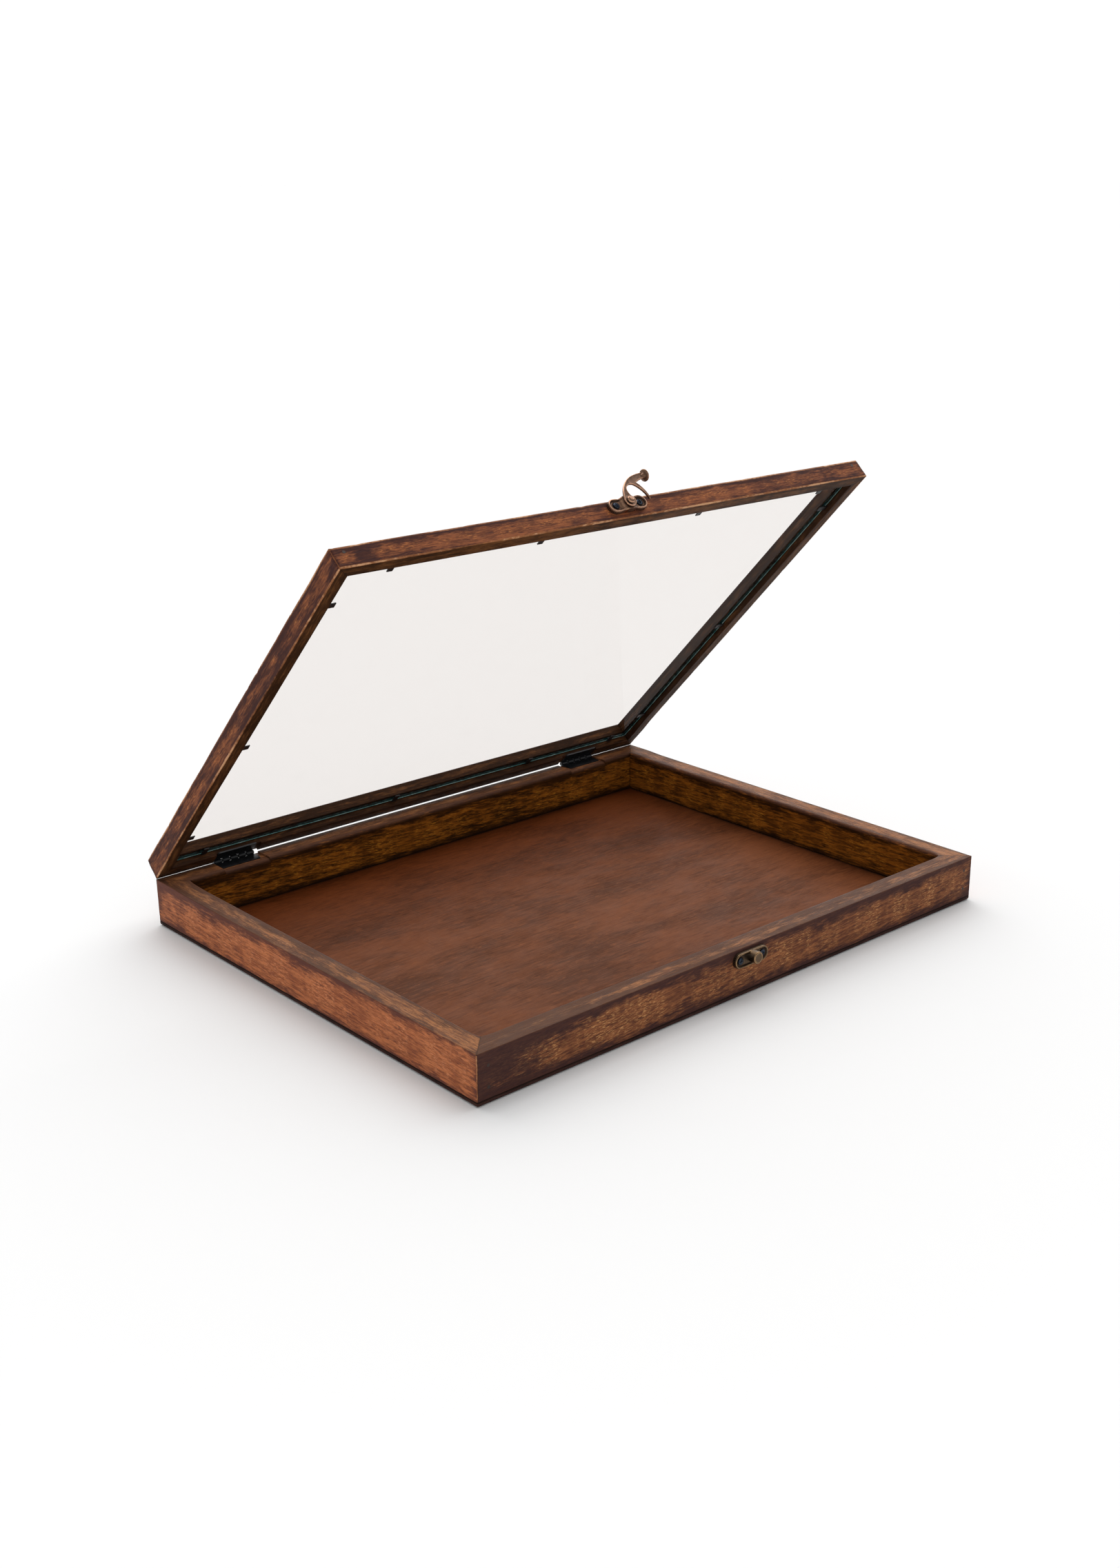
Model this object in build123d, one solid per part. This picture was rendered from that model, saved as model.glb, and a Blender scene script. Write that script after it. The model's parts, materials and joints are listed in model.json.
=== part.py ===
from build123d import *
import math
import os

# Shallow wooden display tray with a hinged, glazed lid, a swing-hook latch on the lid's front
# rail and a slotted catch stud on the tray's front rail. Millimetres, +Z up, +X to the right and
# +Y to the back. The origin is the middle of the tray's underside. The lid is drawn closed and
# then swung open about the hinge pins, which is how it stands at rest.

# ---- driving dimensions -------------------------------------------------------------------
WIDTH = 400.0
DEPTH = 310.0
TRAY_HEIGHT = 29.5
TRAY_RAIL = 15.0            # thickness of the tray's walls
PANEL_THICKNESS = 3.0       # plywood bottom, fixed under the walls
LID_HEIGHT = 13.0
LID_RAIL = 12.0             # width of the lid's rails on top
LID_SEAT = 8.5              # width of the lid's rails underneath, outside the glass rebate
REBATE_DEPTH = 5.5
GLASS_THICKNESS = 2.0
GLASS_PLAY = 0.5            # gap between the glass and the rebate all round
REVEAL = 1.0                # gap between tray and lid when the lid is closed
OPEN_ANGLE = 46.7           # how far the lid stands open at rest, degrees

INNER_EDGE_RADIUS = 2.5     # softened inner top edge of the tray's walls
OUTER_EDGE_RADIUS = 0.7
PLAN_CORNER_RADIUS = 1.0
PANEL_EDGE_RADIUS = 1.8
LID_EDGE_RADIUS = 1.2

HINGE_X = 145.0             # hinge centres left and right of the middle
HINGE_LENGTH = 28.0
LEAF_WIDTH = 10.0           # from the pin's axis to the leaf's free edge
LEAF_THICKNESS = 0.9
KNUCKLE_RADIUS = 1.6
KNUCKLE_COUNT = 5
KNUCKLE_GAP = 1.0
PIN_RADIUS = 0.8
PIN_BEHIND = 0.4            # pin's axis behind the back face of the rails

SHELL_THICKNESS = 2.6       # cast latch and catch plates
PLATE_EDGE_RADIUS = 0.7
PLATE_HEIGHT = 9.0
PLATE_SCREW_SPAN = 17.6
LATCH_LENGTH = 28.0
CATCH_LENGTH = 26.5
LATCH_AT = (-2.4, 38.3)     # x and closed z of the hook's pivot, the middle of the latch plate
CATCH_AT = (-4.4, 23.2)     # x and z of the catch plate's middle
STUD_AT = (-4.2, 24.2)      # x and z of the catch stud's axis
STUD_RADIUS = 3.6
STUD_NECK_RADIUS = 3.5
WINDOW_HEIGHT = 4.0         # slot through the stud that takes the hook's tine
HOOK_LOW = 4.0              # height of the hook's back above the rail's face
HOOK_THICKNESS = 1.5
HOOK_EYE_RADIUS = 3.9
HOOK_REACH = 14.6           # radius of the tine about the pivot
RIVET_RADIUS = 1.5
KNOB_AT = (21.3, 15.0)      # the knob's middle, from the pivot, with the hook lying level
KNOB_RADIUS = 3.65
KNOB_THICKNESS = 1.5
KNOB_LEAN = 5.0             # the knob's turn off the hook's own axis, degrees

RUNNING = 0.05              # radial clearance of a turning fit
SNUG = 0.02                 # radial clearance of a fastener in its hole
BRAD_RADIUS = 0.6
BRAD_HEAD_RADIUS = 0.96
BRAD_HEAD = 0.6             # depth of a brad's head
TRAY_NAIL_HEIGHTS = (9.5, 21.5)
TRAY_NAIL_LENGTH = 26.0
LID_NAIL_RISE = 9.2         # a lid nail's height above the lid's underside
LID_NAIL_LENGTH = 18.0
PANEL_NAIL_X = (-165.0, -55.0, 55.0, 165.0)
PANEL_NAIL_Y = (-110.0, 0.0, 110.0)
PANEL_NAIL_LENGTH = 14.0
SCREW_RADIUS = 1.0
SCREW_HEAD_RADIUS = 2.0

# ---- derived places -----------------------------------------------------------------------
FRONT_FACE = -DEPTH / 2
BACK_FACE = DEPTH / 2
LID_BOTTOM = TRAY_HEIGHT + REVEAL
LID_TOP = LID_BOTTOM + LID_HEIGHT
GLASS_TOP = LID_BOTTOM + REBATE_DEPTH
GLASS_BOTTOM = GLASS_TOP - GLASS_THICKNESS
PIN_Y = BACK_FACE + PIN_BEHIND
PIN_Z = TRAY_HEIGHT + REVEAL / 2
HINGE_AXIS = Axis((0, PIN_Y, PIN_Z), (1, 0, 0))
FRONT, RIGHT, BACK, LEFT = 0, 90, 180, 270
SIDES = {"front": FRONT, "right": RIGHT, "back": BACK, "left": LEFT}
OUTWARD = {"front": (0, -1, 0), "right": (1, 0, 0), "back": (0, 1, 0), "left": (-1, 0, 0)}

# ---- general shapes -----------------------------------------------------------------------


def at(position, out):
    """A place whose local Z points along out and whose local X is level."""
    across = (1, 0, 0) if out[0] == 0 else (0, 1, 0)
    return Plane(origin=position, x_dir=across, z_dir=out).location


def rod(position, out, radius, length):
    """A cylinder that goes into the material from position, away from out."""
    return at(position, out) * Pos(0, 0, -length / 2) * Cylinder(radius, length)


def rail_span(side):
    """A rail's length and how far its outer face stands from the middle."""
    return (WIDTH, DEPTH / 2) if side in ("front", "back") else (DEPTH, WIDTH / 2)


def mitred_rail(side, profile, reach, low, high, corner_radius):
    """One rail of a frame: profile is drawn as (inward from the outer face, height)."""
    length, face = rail_span(side)
    section = Plane(origin=(-length / 2, -face, 0), x_dir=(0, 1, 0), z_dir=(1, 0, 0)) * profile
    wedge = Polygon(
        (-length / 2, -face),
        (length / 2, -face),
        (length / 2 - reach, -face + reach),
        (-length / 2 + reach, -face + reach),
        align=None,
    )
    body = extrude(section, length) & extrude(Pos(0, 0, low) * wedge, high - low)
    plan = extrude(Pos(0, 0, low) * RectangleRounded(WIDTH, DEPTH, corner_radius), high - low)
    return (Rot(0, 0, SIDES[side]) * body) & plan


def brad(position, out, length):
    """A plain wire nail with a small sunk head."""
    head = rod(position, out, BRAD_HEAD_RADIUS, BRAD_HEAD)
    return head + rod(position, out, BRAD_RADIUS, length)


def brad_hole(position, out, length):
    head = rod(position, out, BRAD_HEAD_RADIUS + SNUG, BRAD_HEAD + SNUG)
    return head + rod(position, out, BRAD_RADIUS + SNUG, length + SNUG)


def less(body, tools):
    """body with every tool cut away."""
    for tool in tools:
        body -= tool
    return body


# ---- nails --------------------------------------------------------------------------------


def corner_nails(heights, length):
    """Places of the nails that run from the front and back rails into the side rails."""
    x = WIDTH / 2 - TRAY_RAIL / 2
    return [
        ((sx * x, sy * DEPTH / 2, z), (0, sy, 0), length)
        for sx in (-1, 1)
        for sy in (-1, 1)
        for z in heights
    ]


def panel_nails():
    """Places of the nails that hold the bottom panel to the walls from below."""
    x_line = WIDTH / 2 - TRAY_RAIL / 2
    y_line = DEPTH / 2 - TRAY_RAIL / 2
    along_x = [(x, sy * y_line, 0) for sy in (-1, 1) for x in PANEL_NAIL_X]
    along_y = [(sx * x_line, y, 0) for sx in (-1, 1) for y in PANEL_NAIL_Y]
    return [(place, (0, 0, -1), PANEL_NAIL_LENGTH) for place in along_x + along_y]


TRAY_NAILS = corner_nails(TRAY_NAIL_HEIGHTS, TRAY_NAIL_LENGTH)
LID_NAILS = corner_nails((LID_BOTTOM + LID_NAIL_RISE,), LID_NAIL_LENGTH)
PANEL_NAILS = panel_nails()

# ---- hinges -------------------------------------------------------------------------------
LEAF_INSET = KNUCKLE_RADIUS - REVEAL / 2     # how deep a leaf lies in its rail
KNUCKLE_CLEAR = KNUCKLE_RADIUS + 0.35        # groove in the wood behind a knuckle
NOTCH = KNUCKLE_RADIUS + 0.6                 # plain edge of a leaf, from the pin's axis
LEAF_CORNER_RADIUS = 1.2
PEEN_THICKNESS = 0.5                         # flattened end of a pin
LEAF_SCREW_X = 8.0
LEAF_SCREW_Y = 6.2
LEAF_SCREW_LENGTH = 9.0
POCKET_OUTER_PLAY = 1.0                      # room in the mortise beyond the leaf's ends
POCKET_INNER_PLAY = 3.6


def knuckle_centres(first):
    """Every second knuckle along the hinge, from its middle."""
    pitch = (HINGE_LENGTH + KNUCKLE_GAP) / KNUCKLE_COUNT
    start = -HINGE_LENGTH / 2 + (pitch - KNUCKLE_GAP) / 2
    return [start + pitch * i for i in range(first, KNUCKLE_COUNT, 2)]


def leaf_screw_places(x):
    return [(x + s * LEAF_SCREW_X, PIN_Y - LEAF_SCREW_Y) for s in (-1, 1)]


def flip_about_pin(shape):
    """Turns a tray-side shape upside down about the pins, which makes it the lid's."""
    return mirror(shape, about=Plane(origin=(0, PIN_Y, PIN_Z), z_dir=(0, 0, 1)))


def countersunk(x, y, play):
    """A flat-headed wood screw set in the tray's leaf, or its hole when play is given."""
    top = PIN_Z - KNUCKLE_RADIUS + LEAF_THICKNESS
    head = Pos(x, y, top - LEAF_THICKNESS / 2) * Cone(
        SCREW_RADIUS + play, SCREW_HEAD_RADIUS - 0.1 + play, LEAF_THICKNESS
    )
    return head + rod((x, y, top - LEAF_THICKNESS), (0, 0, 1), SCREW_RADIUS + play, LEAF_SCREW_LENGTH)


def tray_side_leaf(x, first, bore):
    """A pressed leaf with its rolled knuckles, lying on the tray's rail."""
    plate_depth = LEAF_WIDTH - NOTCH
    level = PIN_Z - KNUCKLE_RADIUS + LEAF_THICKNESS / 2
    plate = Pos(x, PIN_Y - NOTCH - plate_depth / 2, level) * Box(
        HINGE_LENGTH, plate_depth, LEAF_THICKNESS
    )
    free_corners = plate.edges().filter_by(Axis.Z).group_by(Axis.Y)[0]
    leaf = fillet(free_corners, LEAF_CORNER_RADIUS)
    roll_length = (HINGE_LENGTH + KNUCKLE_GAP) / KNUCKLE_COUNT - KNUCKLE_GAP
    for centre in knuckle_centres(first):
        tab = Pos(x + centre, PIN_Y - NOTCH / 2, level) * Box(roll_length, NOTCH, LEAF_THICKNESS)
        roll = Pos(x + centre, PIN_Y, PIN_Z) * Rot(0, 90, 0) * Cylinder(KNUCKLE_RADIUS, roll_length)
        leaf += tab + roll
    leaf -= Pos(x, PIN_Y, PIN_Z) * Rot(0, 90, 0) * Cylinder(PIN_RADIUS + bore, 2 * HINGE_LENGTH)
    return less(leaf, [countersunk(px, py, SNUG) for px, py in leaf_screw_places(x)])


def hinge_pin(x):
    """The pin with its two peened ends."""
    pin = Cylinder(PIN_RADIUS, HINGE_LENGTH + 2 * PEEN_THICKNESS)
    peen_middle = (HINGE_LENGTH + PEEN_THICKNESS) / 2 + RUNNING
    for end in (-1, 1):
        pin += Pos(0, 0, end * peen_middle) * Cylinder(PIN_RADIUS * 1.5, PEEN_THICKNESS)
    return Pos(x, PIN_Y, PIN_Z) * Rot(0, 90, 0) * pin


def leaf_pocket(side):
    """Shallow mortise in the tray's back rail: longer than the leaf towards the middle."""
    length = HINGE_LENGTH + POCKET_OUTER_PLAY + POCKET_INNER_PLAY
    x = side * (HINGE_X - (POCKET_INNER_PLAY - POCKET_OUTER_PLAY) / 2)
    y = BACK_FACE - TRAY_RAIL / 2
    pocket = Pos(x, y, TRAY_HEIGHT) * Box(length, TRAY_RAIL + 2, 2 * LEAF_INSET)
    groove = Pos(x, PIN_Y, PIN_Z) * Rot(0, 90, 0) * Cylinder(KNUCKLE_CLEAR, length)
    return pocket + groove


# ---- tray ---------------------------------------------------------------------------------


def tray_profile():
    """Section of a tray wall, with a soft inner top edge."""
    wall = Polyline(
        (0, PANEL_THICKNESS),
        (TRAY_RAIL, PANEL_THICKNESS),
        (TRAY_RAIL, TRAY_HEIGHT),
        (0, TRAY_HEIGHT),
        close=True,
    )
    face = make_face(wall)
    top = face.vertices().group_by(Axis.Y)[-1].sort_by(Axis.X)
    face = fillet(top[-1], INNER_EDGE_RADIUS)
    outer = face.vertices().group_by(Axis.Y)[-1].sort_by(Axis.X)[0]
    return fillet(outer, OUTER_EDGE_RADIUS)


def tray_rail(side):
    rail = mitred_rail(
        side, tray_profile(), TRAY_RAIL + 1, PANEL_THICKNESS, TRAY_HEIGHT + 1, PLAN_CORNER_RADIUS
    )
    tools = [brad_hole(*nail) for nail in TRAY_NAILS + PANEL_NAILS]
    if side == "back":
        tools += [leaf_pocket(s) for s in (-1, 1)]
        tools += [
            countersunk(x, y, SNUG) for s in (-1, 1) for x, y in leaf_screw_places(s * HINGE_X)
        ]
    if side == "front":
        tools += [pilot_hole(x, z) for x, z in plate_screw_places(CATCH_AT)]
    return less(rail, tools)


def bottom_panel():
    panel = extrude(RectangleRounded(WIDTH, DEPTH, PLAN_CORNER_RADIUS), PANEL_THICKNESS)
    panel = fillet(panel.faces().sort_by(Axis.Z)[0].edges(), PANEL_EDGE_RADIUS)
    return less(panel, [brad_hole(*nail) for nail in PANEL_NAILS])


# ---- lid ----------------------------------------------------------------------------------
POINT_WIDTH = 3.6
POINT_THICKNESS = 0.6
POINT_OUT = 7.0             # how far a glazing point reaches over the glass
POINT_IN = 3.5              # how far it is driven into the rail
GLAZING_POINTS = {
    "front": (-161, -60, 62, 168),
    "back": (-168, -22, 95, 174),
    "left": (-117, 17, 118),
    "right": (-121, 6, 117),
}


def lid_profile():
    """L-shaped section: the glass lies in the rebate, against the lip on top."""
    outline = Polyline(
        (0, LID_BOTTOM),
        (LID_SEAT, LID_BOTTOM),
        (LID_SEAT, GLASS_TOP),
        (LID_RAIL, GLASS_TOP),
        (LID_RAIL, LID_TOP),
        (0, LID_TOP),
        close=True,
    )
    face = make_face(outline)
    return fillet(face.vertices().group_by(Axis.Y)[-1], LID_EDGE_RADIUS)


def glazing_point(side, along, play):
    """A flat tab driven level into the rebate's wall, flat against the glass."""
    length = POINT_IN + POINT_OUT + play
    reach = rail_span(side)[1] - LID_SEAT + POINT_IN - length / 2 + play
    level = GLASS_BOTTOM - POINT_THICKNESS / 2
    tab = Box(POINT_WIDTH + 2 * play, length, POINT_THICKNESS + 2 * play)
    if side in ("front", "back"):
        return Pos(along, OUTWARD[side][1] * reach, level) * tab
    return Pos(OUTWARD[side][0] * reach, along, level) * Rot(0, 0, 90) * tab


def lid_rail(side):
    rail = mitred_rail(
        side, lid_profile(), LID_RAIL + 1, LID_BOTTOM, LID_TOP, PLAN_CORNER_RADIUS * 2
    )
    tools = [brad_hole(*nail) for nail in LID_NAILS]
    tools += [glazing_point(side, along, SNUG) for along in GLAZING_POINTS[side]]
    if side == "back":
        tools += [flip_about_pin(leaf_pocket(s)) for s in (-1, 1)]
        tools += [
            flip_about_pin(countersunk(x, y, SNUG))
            for s in (-1, 1)
            for x, y in leaf_screw_places(s * HINGE_X)
        ]
    if side == "front":
        tools += [pilot_hole(x, z) for x, z in plate_screw_places(LATCH_AT)]
    return less(rail, tools)


def lid_glass():
    inset = 2 * (LID_SEAT + GLASS_PLAY)
    pane = Pos(0, 0, GLASS_BOTTOM + GLASS_THICKNESS / 2) * Box(
        WIDTH - inset, DEPTH - inset, GLASS_THICKNESS
    )
    return pane


# ---- latch and catch ----------------------------------------------------------------------
PLATE_SCREW_LENGTH = 9.0
PLATE_SCREW_SHANK = 1.1
HEAD_SEAT = SHELL_THICKNESS - 1.0            # height of the seat that a screw's head stands on
HEAD_SEAT_RADIUS = SCREW_HEAD_RADIUS + 0.15
HEAD_RISE = 0.9
BOSS_RADIUS = 4.2
BOSS_TAPER = 0.6
WASHER_GAP = 0.1                             # gap on each side of the hook's eye
RIVET_HEAD_RADIUS = 2.4
RIVET_HEAD = 1.3
DISC_GAP = 0.4                               # room for the tine under the stud's disc
DISC_THICKNESS = 1.4
DISC_EDGE_RADIUS = 0.5
KNOB_EDGE_RADIUS = 0.4
HEAD_FILLET = 0.6                            # a domed head's edge radius, as a share of its height


def on_face(x, z, height=0.0):
    """A place in front of the front face: local Z points out of the face, local Y up."""
    return Plane(origin=(x, FRONT_FACE - height, z), x_dir=(1, 0, 0), z_dir=(0, -1, 0)).location


def plate_screw_places(middle):
    return [(middle[0] + s * PLATE_SCREW_SPAN / 2, middle[1]) for s in (-1, 1)]


def pilot_hole(x, z):
    depth = PLATE_SCREW_LENGTH + SNUG
    return on_face(x, z) * Pos(0, 0, -depth / 2) * Cylinder(PLATE_SCREW_SHANK + SNUG, depth)


def plate_screw(x, z):
    """A round-headed screw, with its head sunk in the plate."""
    shank_length = PLATE_SCREW_LENGTH + HEAD_SEAT
    shank = Pos(0, 0, HEAD_SEAT - shank_length / 2) * Cylinder(PLATE_SCREW_SHANK, shank_length)
    head = Pos(0, 0, HEAD_SEAT + HEAD_RISE / 2) * Cylinder(SCREW_HEAD_RADIUS, HEAD_RISE)
    head = fillet(head.edges().sort_by(Axis.Z)[-1], HEAD_RISE * HEAD_FILLET)
    return on_face(x, z) * (shank + head)


def cast_plate(length):
    """An oblong plate with round ends and a softened rim, holed for its two screws."""
    plate = extrude(SlotOverall(length, PLATE_HEIGHT), SHELL_THICKNESS)
    plate = fillet(plate.faces().sort_by(Axis.Z)[-1].edges(), PLATE_EDGE_RADIUS)
    seat_depth = SHELL_THICKNESS - HEAD_SEAT
    for s in (-1, 1):
        x = s * PLATE_SCREW_SPAN / 2
        plate -= Pos(x, 0, 0) * Cylinder(PLATE_SCREW_SHANK + SNUG, 4 * SHELL_THICKNESS)
        plate -= Pos(x, 0, SHELL_THICKNESS) * Cylinder(HEAD_SEAT_RADIUS, 2 * seat_depth)
    return plate


def latch_plate():
    """The hook's base: an oblong plate with a raised round boss in the middle."""
    rise = HOOK_LOW - WASHER_GAP - SHELL_THICKNESS
    boss_middle = SHELL_THICKNESS + rise / 2
    boss = Pos(0, 0, boss_middle) * Cone(BOSS_RADIUS, BOSS_RADIUS - BOSS_TAPER, rise)
    bore = Cylinder(RIVET_RADIUS + SNUG, 4 * HOOK_LOW)
    return on_face(*LATCH_AT) * (cast_plate(LATCH_LENGTH) + boss - bore)


def latch_rivet():
    """The hook's pivot: a shank through the plate and hook, with a low domed head."""
    head_low = HOOK_LOW + HOOK_THICKNESS + WASHER_GAP
    shank = Pos(0, 0, head_low / 2) * Cylinder(RIVET_RADIUS, head_low)
    head = Pos(0, 0, head_low + RIVET_HEAD / 2) * Cylinder(RIVET_HEAD_RADIUS, RIVET_HEAD)
    head = fillet(head.edges().sort_by(Axis.Z)[-1], RIVET_HEAD * HEAD_FILLET)
    return on_face(*LATCH_AT) * (shank + head)


def polar(radius, degrees):
    return (radius * math.cos(math.radians(degrees)), radius * math.sin(math.radians(degrees)))


def hook_outline():
    """The hook about its pivot: a crescent from the eye to the neck, and a curved tine."""
    root_out, root_in = polar(HOOK_REACH + 1.3, 43), polar(HOOK_REACH - 1.3, 50)
    tip_out, tip_in = polar(HOOK_REACH + 0.35, -2), polar(HOOK_REACH - 0.45, -3)
    mid_out, mid_in = polar(HOOK_REACH + 0.9, 22), polar(HOOK_REACH - 0.9, 22)
    start, shoulder = (-3.3, 2.1), (9.4, 15.4)
    neck_top, neck_low = (20.6, 16.9), (20.9, 13.2)
    eye_joint = (2.3, 3.1)
    edges = [
        ThreePointArc(start, (0.8, 9.3), shoulder),
        ThreePointArc(shoulder, (14.8, 16.6), neck_top),
        Line(neck_top, neck_low),
        ThreePointArc(neck_low, (16.3, 12.6), root_out),
        ThreePointArc(root_out, mid_out, tip_out),
        Line(tip_out, tip_in),
        ThreePointArc(tip_in, mid_in, root_in),
        Spline(root_in, (5.6, 10.2), (2.6, 8.2), (1.9, 5.6), eye_joint),
        Line(eye_joint, start),
    ]
    return make_face(Wire(edges)) + Circle(HOOK_EYE_RADIUS)


def latch_hook():
    """The swinging hook, with its thumb knob set across the end of the neck."""
    hook = extrude(hook_outline(), HOOK_THICKNESS)
    knob = Cylinder(KNOB_RADIUS, KNOB_THICKNESS)
    knob = fillet(knob.edges().filter_by(GeomType.CIRCLE), KNOB_EDGE_RADIUS)
    across = Pos(*KNOB_AT, HOOK_THICKNESS / 2) * Rot(0, 0, KNOB_LEAN) * Rot(0, 90, 0)
    hook += across * knob
    hook -= Cylinder(RIVET_RADIUS + RUNNING, 4 * HOOK_THICKNESS)
    return on_face(*LATCH_AT, HOOK_LOW) * hook


def catch_plate():
    """Oblong plate with a stud that is slotted from side to side and closed by a round disc."""
    disc_low = HOOK_LOW + HOOK_THICKNESS + DISC_GAP
    stud = extrude(Circle(STUD_NECK_RADIUS), disc_low)
    window_depth = 2 * (disc_low - SHELL_THICKNESS)
    window = Box(4 * STUD_RADIUS, WINDOW_HEIGHT, window_depth)
    stud -= Pos(0, 0, SHELL_THICKNESS + window_depth / 2) * window
    disc = Pos(0, 0, disc_low + DISC_THICKNESS / 2) * Cylinder(STUD_RADIUS, DISC_THICKNESS)
    disc = fillet(disc.edges().sort_by(Axis.Z)[-1], DISC_EDGE_RADIUS)
    return on_face(*CATCH_AT) * cast_plate(CATCH_LENGTH) + on_face(*STUD_AT) * (stud + disc)


# ---- assembly -----------------------------------------------------------------------------


def tray_nodes():
    nodes = {f"tray_{side}_rail": tray_rail(side) for side in SIDES}
    nodes["tray_bottom_panel"] = bottom_panel()
    nodes["tray_corner_pins"] = [brad(*nail) for nail in TRAY_NAILS]
    nodes["bottom_panel_pins"] = [brad(*nail) for nail in PANEL_NAILS]
    for name, s in (("left", -1), ("right", 1)):
        x = s * HINGE_X
        nodes[f"{name}_hinge_tray_leaf"] = tray_side_leaf(x, 0, SNUG)
        nodes[f"{name}_hinge_pin"] = hinge_pin(x)
        nodes[f"{name}_hinge_tray_screws"] = [countersunk(*p, 0) for p in leaf_screw_places(x)]
    nodes["catch_plate"] = catch_plate()
    nodes["catch_screws"] = [plate_screw(*p) for p in plate_screw_places(CATCH_AT)]
    return nodes


def lid_nodes():
    """Everything that swings with the lid, drawn with the lid closed."""
    nodes = {f"lid_{side}_rail": lid_rail(side) for side in SIDES}
    nodes["lid_glass"] = lid_glass()
    for side, places in GLAZING_POINTS.items():
        nodes[f"glazing_points_{side}"] = [glazing_point(side, along, 0) for along in places]
    nodes["lid_corner_pins"] = [brad(*nail) for nail in LID_NAILS]
    for name, s in (("left", -1), ("right", 1)):
        x = s * HINGE_X
        nodes[f"{name}_hinge_lid_leaf"] = flip_about_pin(tray_side_leaf(x, 1, RUNNING))
        nodes[f"{name}_hinge_lid_screws"] = [
            flip_about_pin(countersunk(*p, 0)) for p in leaf_screw_places(x)
        ]
    nodes["latch_plate"] = latch_plate()
    nodes["latch_rivet"] = latch_rivet()
    nodes["latch_hook"] = latch_hook()
    nodes["latch_screws"] = [plate_screw(*p) for p in plate_screw_places(LATCH_AT)]
    return nodes


def swung(shape):
    """shape carried from the closed lid to the open one."""
    return shape.rotate(HINGE_AXIS, -OPEN_ANGLE)


def write(name, shapes):
    """Writes one node, as a single solid or as a group of separate ones."""
    solids = [solid for shape in shapes for solid in shape.solids()]
    whole = solids[0] if len(solids) == 1 else Compound(children=solids)
    export_step(whole, f"parts/{name}.step")


def main():
    os.makedirs("parts", exist_ok=True)
    for name, shape in tray_nodes().items():
        write(name, shape if isinstance(shape, list) else [shape])
    for name, shape in lid_nodes().items():
        group = shape if isinstance(shape, list) else [shape]
        write(name, [swung(piece) for piece in group])


if __name__ == "__main__":
    main()
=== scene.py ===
import json
import math

import bmesh
import bpy
import numpy as np
from mathutils import Matrix, Vector, noise


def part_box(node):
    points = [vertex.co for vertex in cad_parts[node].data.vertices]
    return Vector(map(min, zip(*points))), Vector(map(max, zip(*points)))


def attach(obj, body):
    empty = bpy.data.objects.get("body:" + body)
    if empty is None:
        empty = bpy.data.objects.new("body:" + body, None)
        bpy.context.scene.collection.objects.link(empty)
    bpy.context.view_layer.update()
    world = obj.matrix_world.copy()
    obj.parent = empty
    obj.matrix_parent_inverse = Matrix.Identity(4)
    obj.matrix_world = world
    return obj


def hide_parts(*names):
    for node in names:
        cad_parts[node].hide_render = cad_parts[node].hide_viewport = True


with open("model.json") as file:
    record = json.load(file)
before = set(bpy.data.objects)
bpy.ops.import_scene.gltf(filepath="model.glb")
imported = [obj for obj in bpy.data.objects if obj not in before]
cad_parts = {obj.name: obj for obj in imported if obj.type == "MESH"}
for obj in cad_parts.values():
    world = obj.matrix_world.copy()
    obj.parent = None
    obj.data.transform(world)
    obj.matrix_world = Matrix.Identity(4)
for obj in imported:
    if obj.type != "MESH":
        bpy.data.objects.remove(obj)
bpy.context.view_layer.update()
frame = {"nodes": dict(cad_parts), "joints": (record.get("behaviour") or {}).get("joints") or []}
MM = 0.001

# ---- sizes, read from the frame ----
JOINTS = {joint["name"]: joint for joint in frame["joints"]}
PIN = (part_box("left_hinge_pin")[0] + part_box("left_hinge_pin")[1]) / 2
OPEN_ANGLE = math.radians(JOINTS["lid_hinge"]["range_deg"][1])


def swing(points, angle):
    """Points turned about the hinge pins; a positive angle closes the lid."""
    c, s = math.cos(angle), math.sin(angle)
    turned = np.array(points, float).reshape(-1, 3)
    y, z = turned[:, 1] - PIN.y, turned[:, 2] - PIN.z
    turned[:, 1] = PIN.y + y * c - z * s
    turned[:, 2] = PIN.z + y * s + z * c
    return turned


def closed_box(node):
    """Lowest and highest corner of one of the lid's nodes, with the lid closed."""
    points = swing([v.co for v in frame["nodes"][node].data.vertices], OPEN_ANGLE)
    return Vector(points.min(0)), Vector(points.max(0))


PANEL_LOW, PANEL_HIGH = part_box("tray_bottom_panel")
WIDTH = PANEL_HIGH.x - PANEL_LOW.x
DEPTH = PANEL_HIGH.y - PANEL_LOW.y
PANEL = PANEL_HIGH.z
WALL_LOW, WALL_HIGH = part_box("tray_front_rail")
WALL = WALL_HIGH.y - WALL_LOW.y
TRAY_TOP = WALL_HIGH.z
LID_LOW, LID_HIGH = closed_box("lid_front_rail")
LID_BOTTOM, LID_TOP = LID_LOW.z, LID_HIGH.z
LID_RAIL = LID_HIGH.y - LID_LOW.y
GLASS_LOW, GLASS_HIGH = closed_box("lid_glass")
GLASS_PLAY = 0.5 * MM
LID_SEAT = GLASS_LOW.y + DEPTH / 2 - GLASS_PLAY

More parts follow.
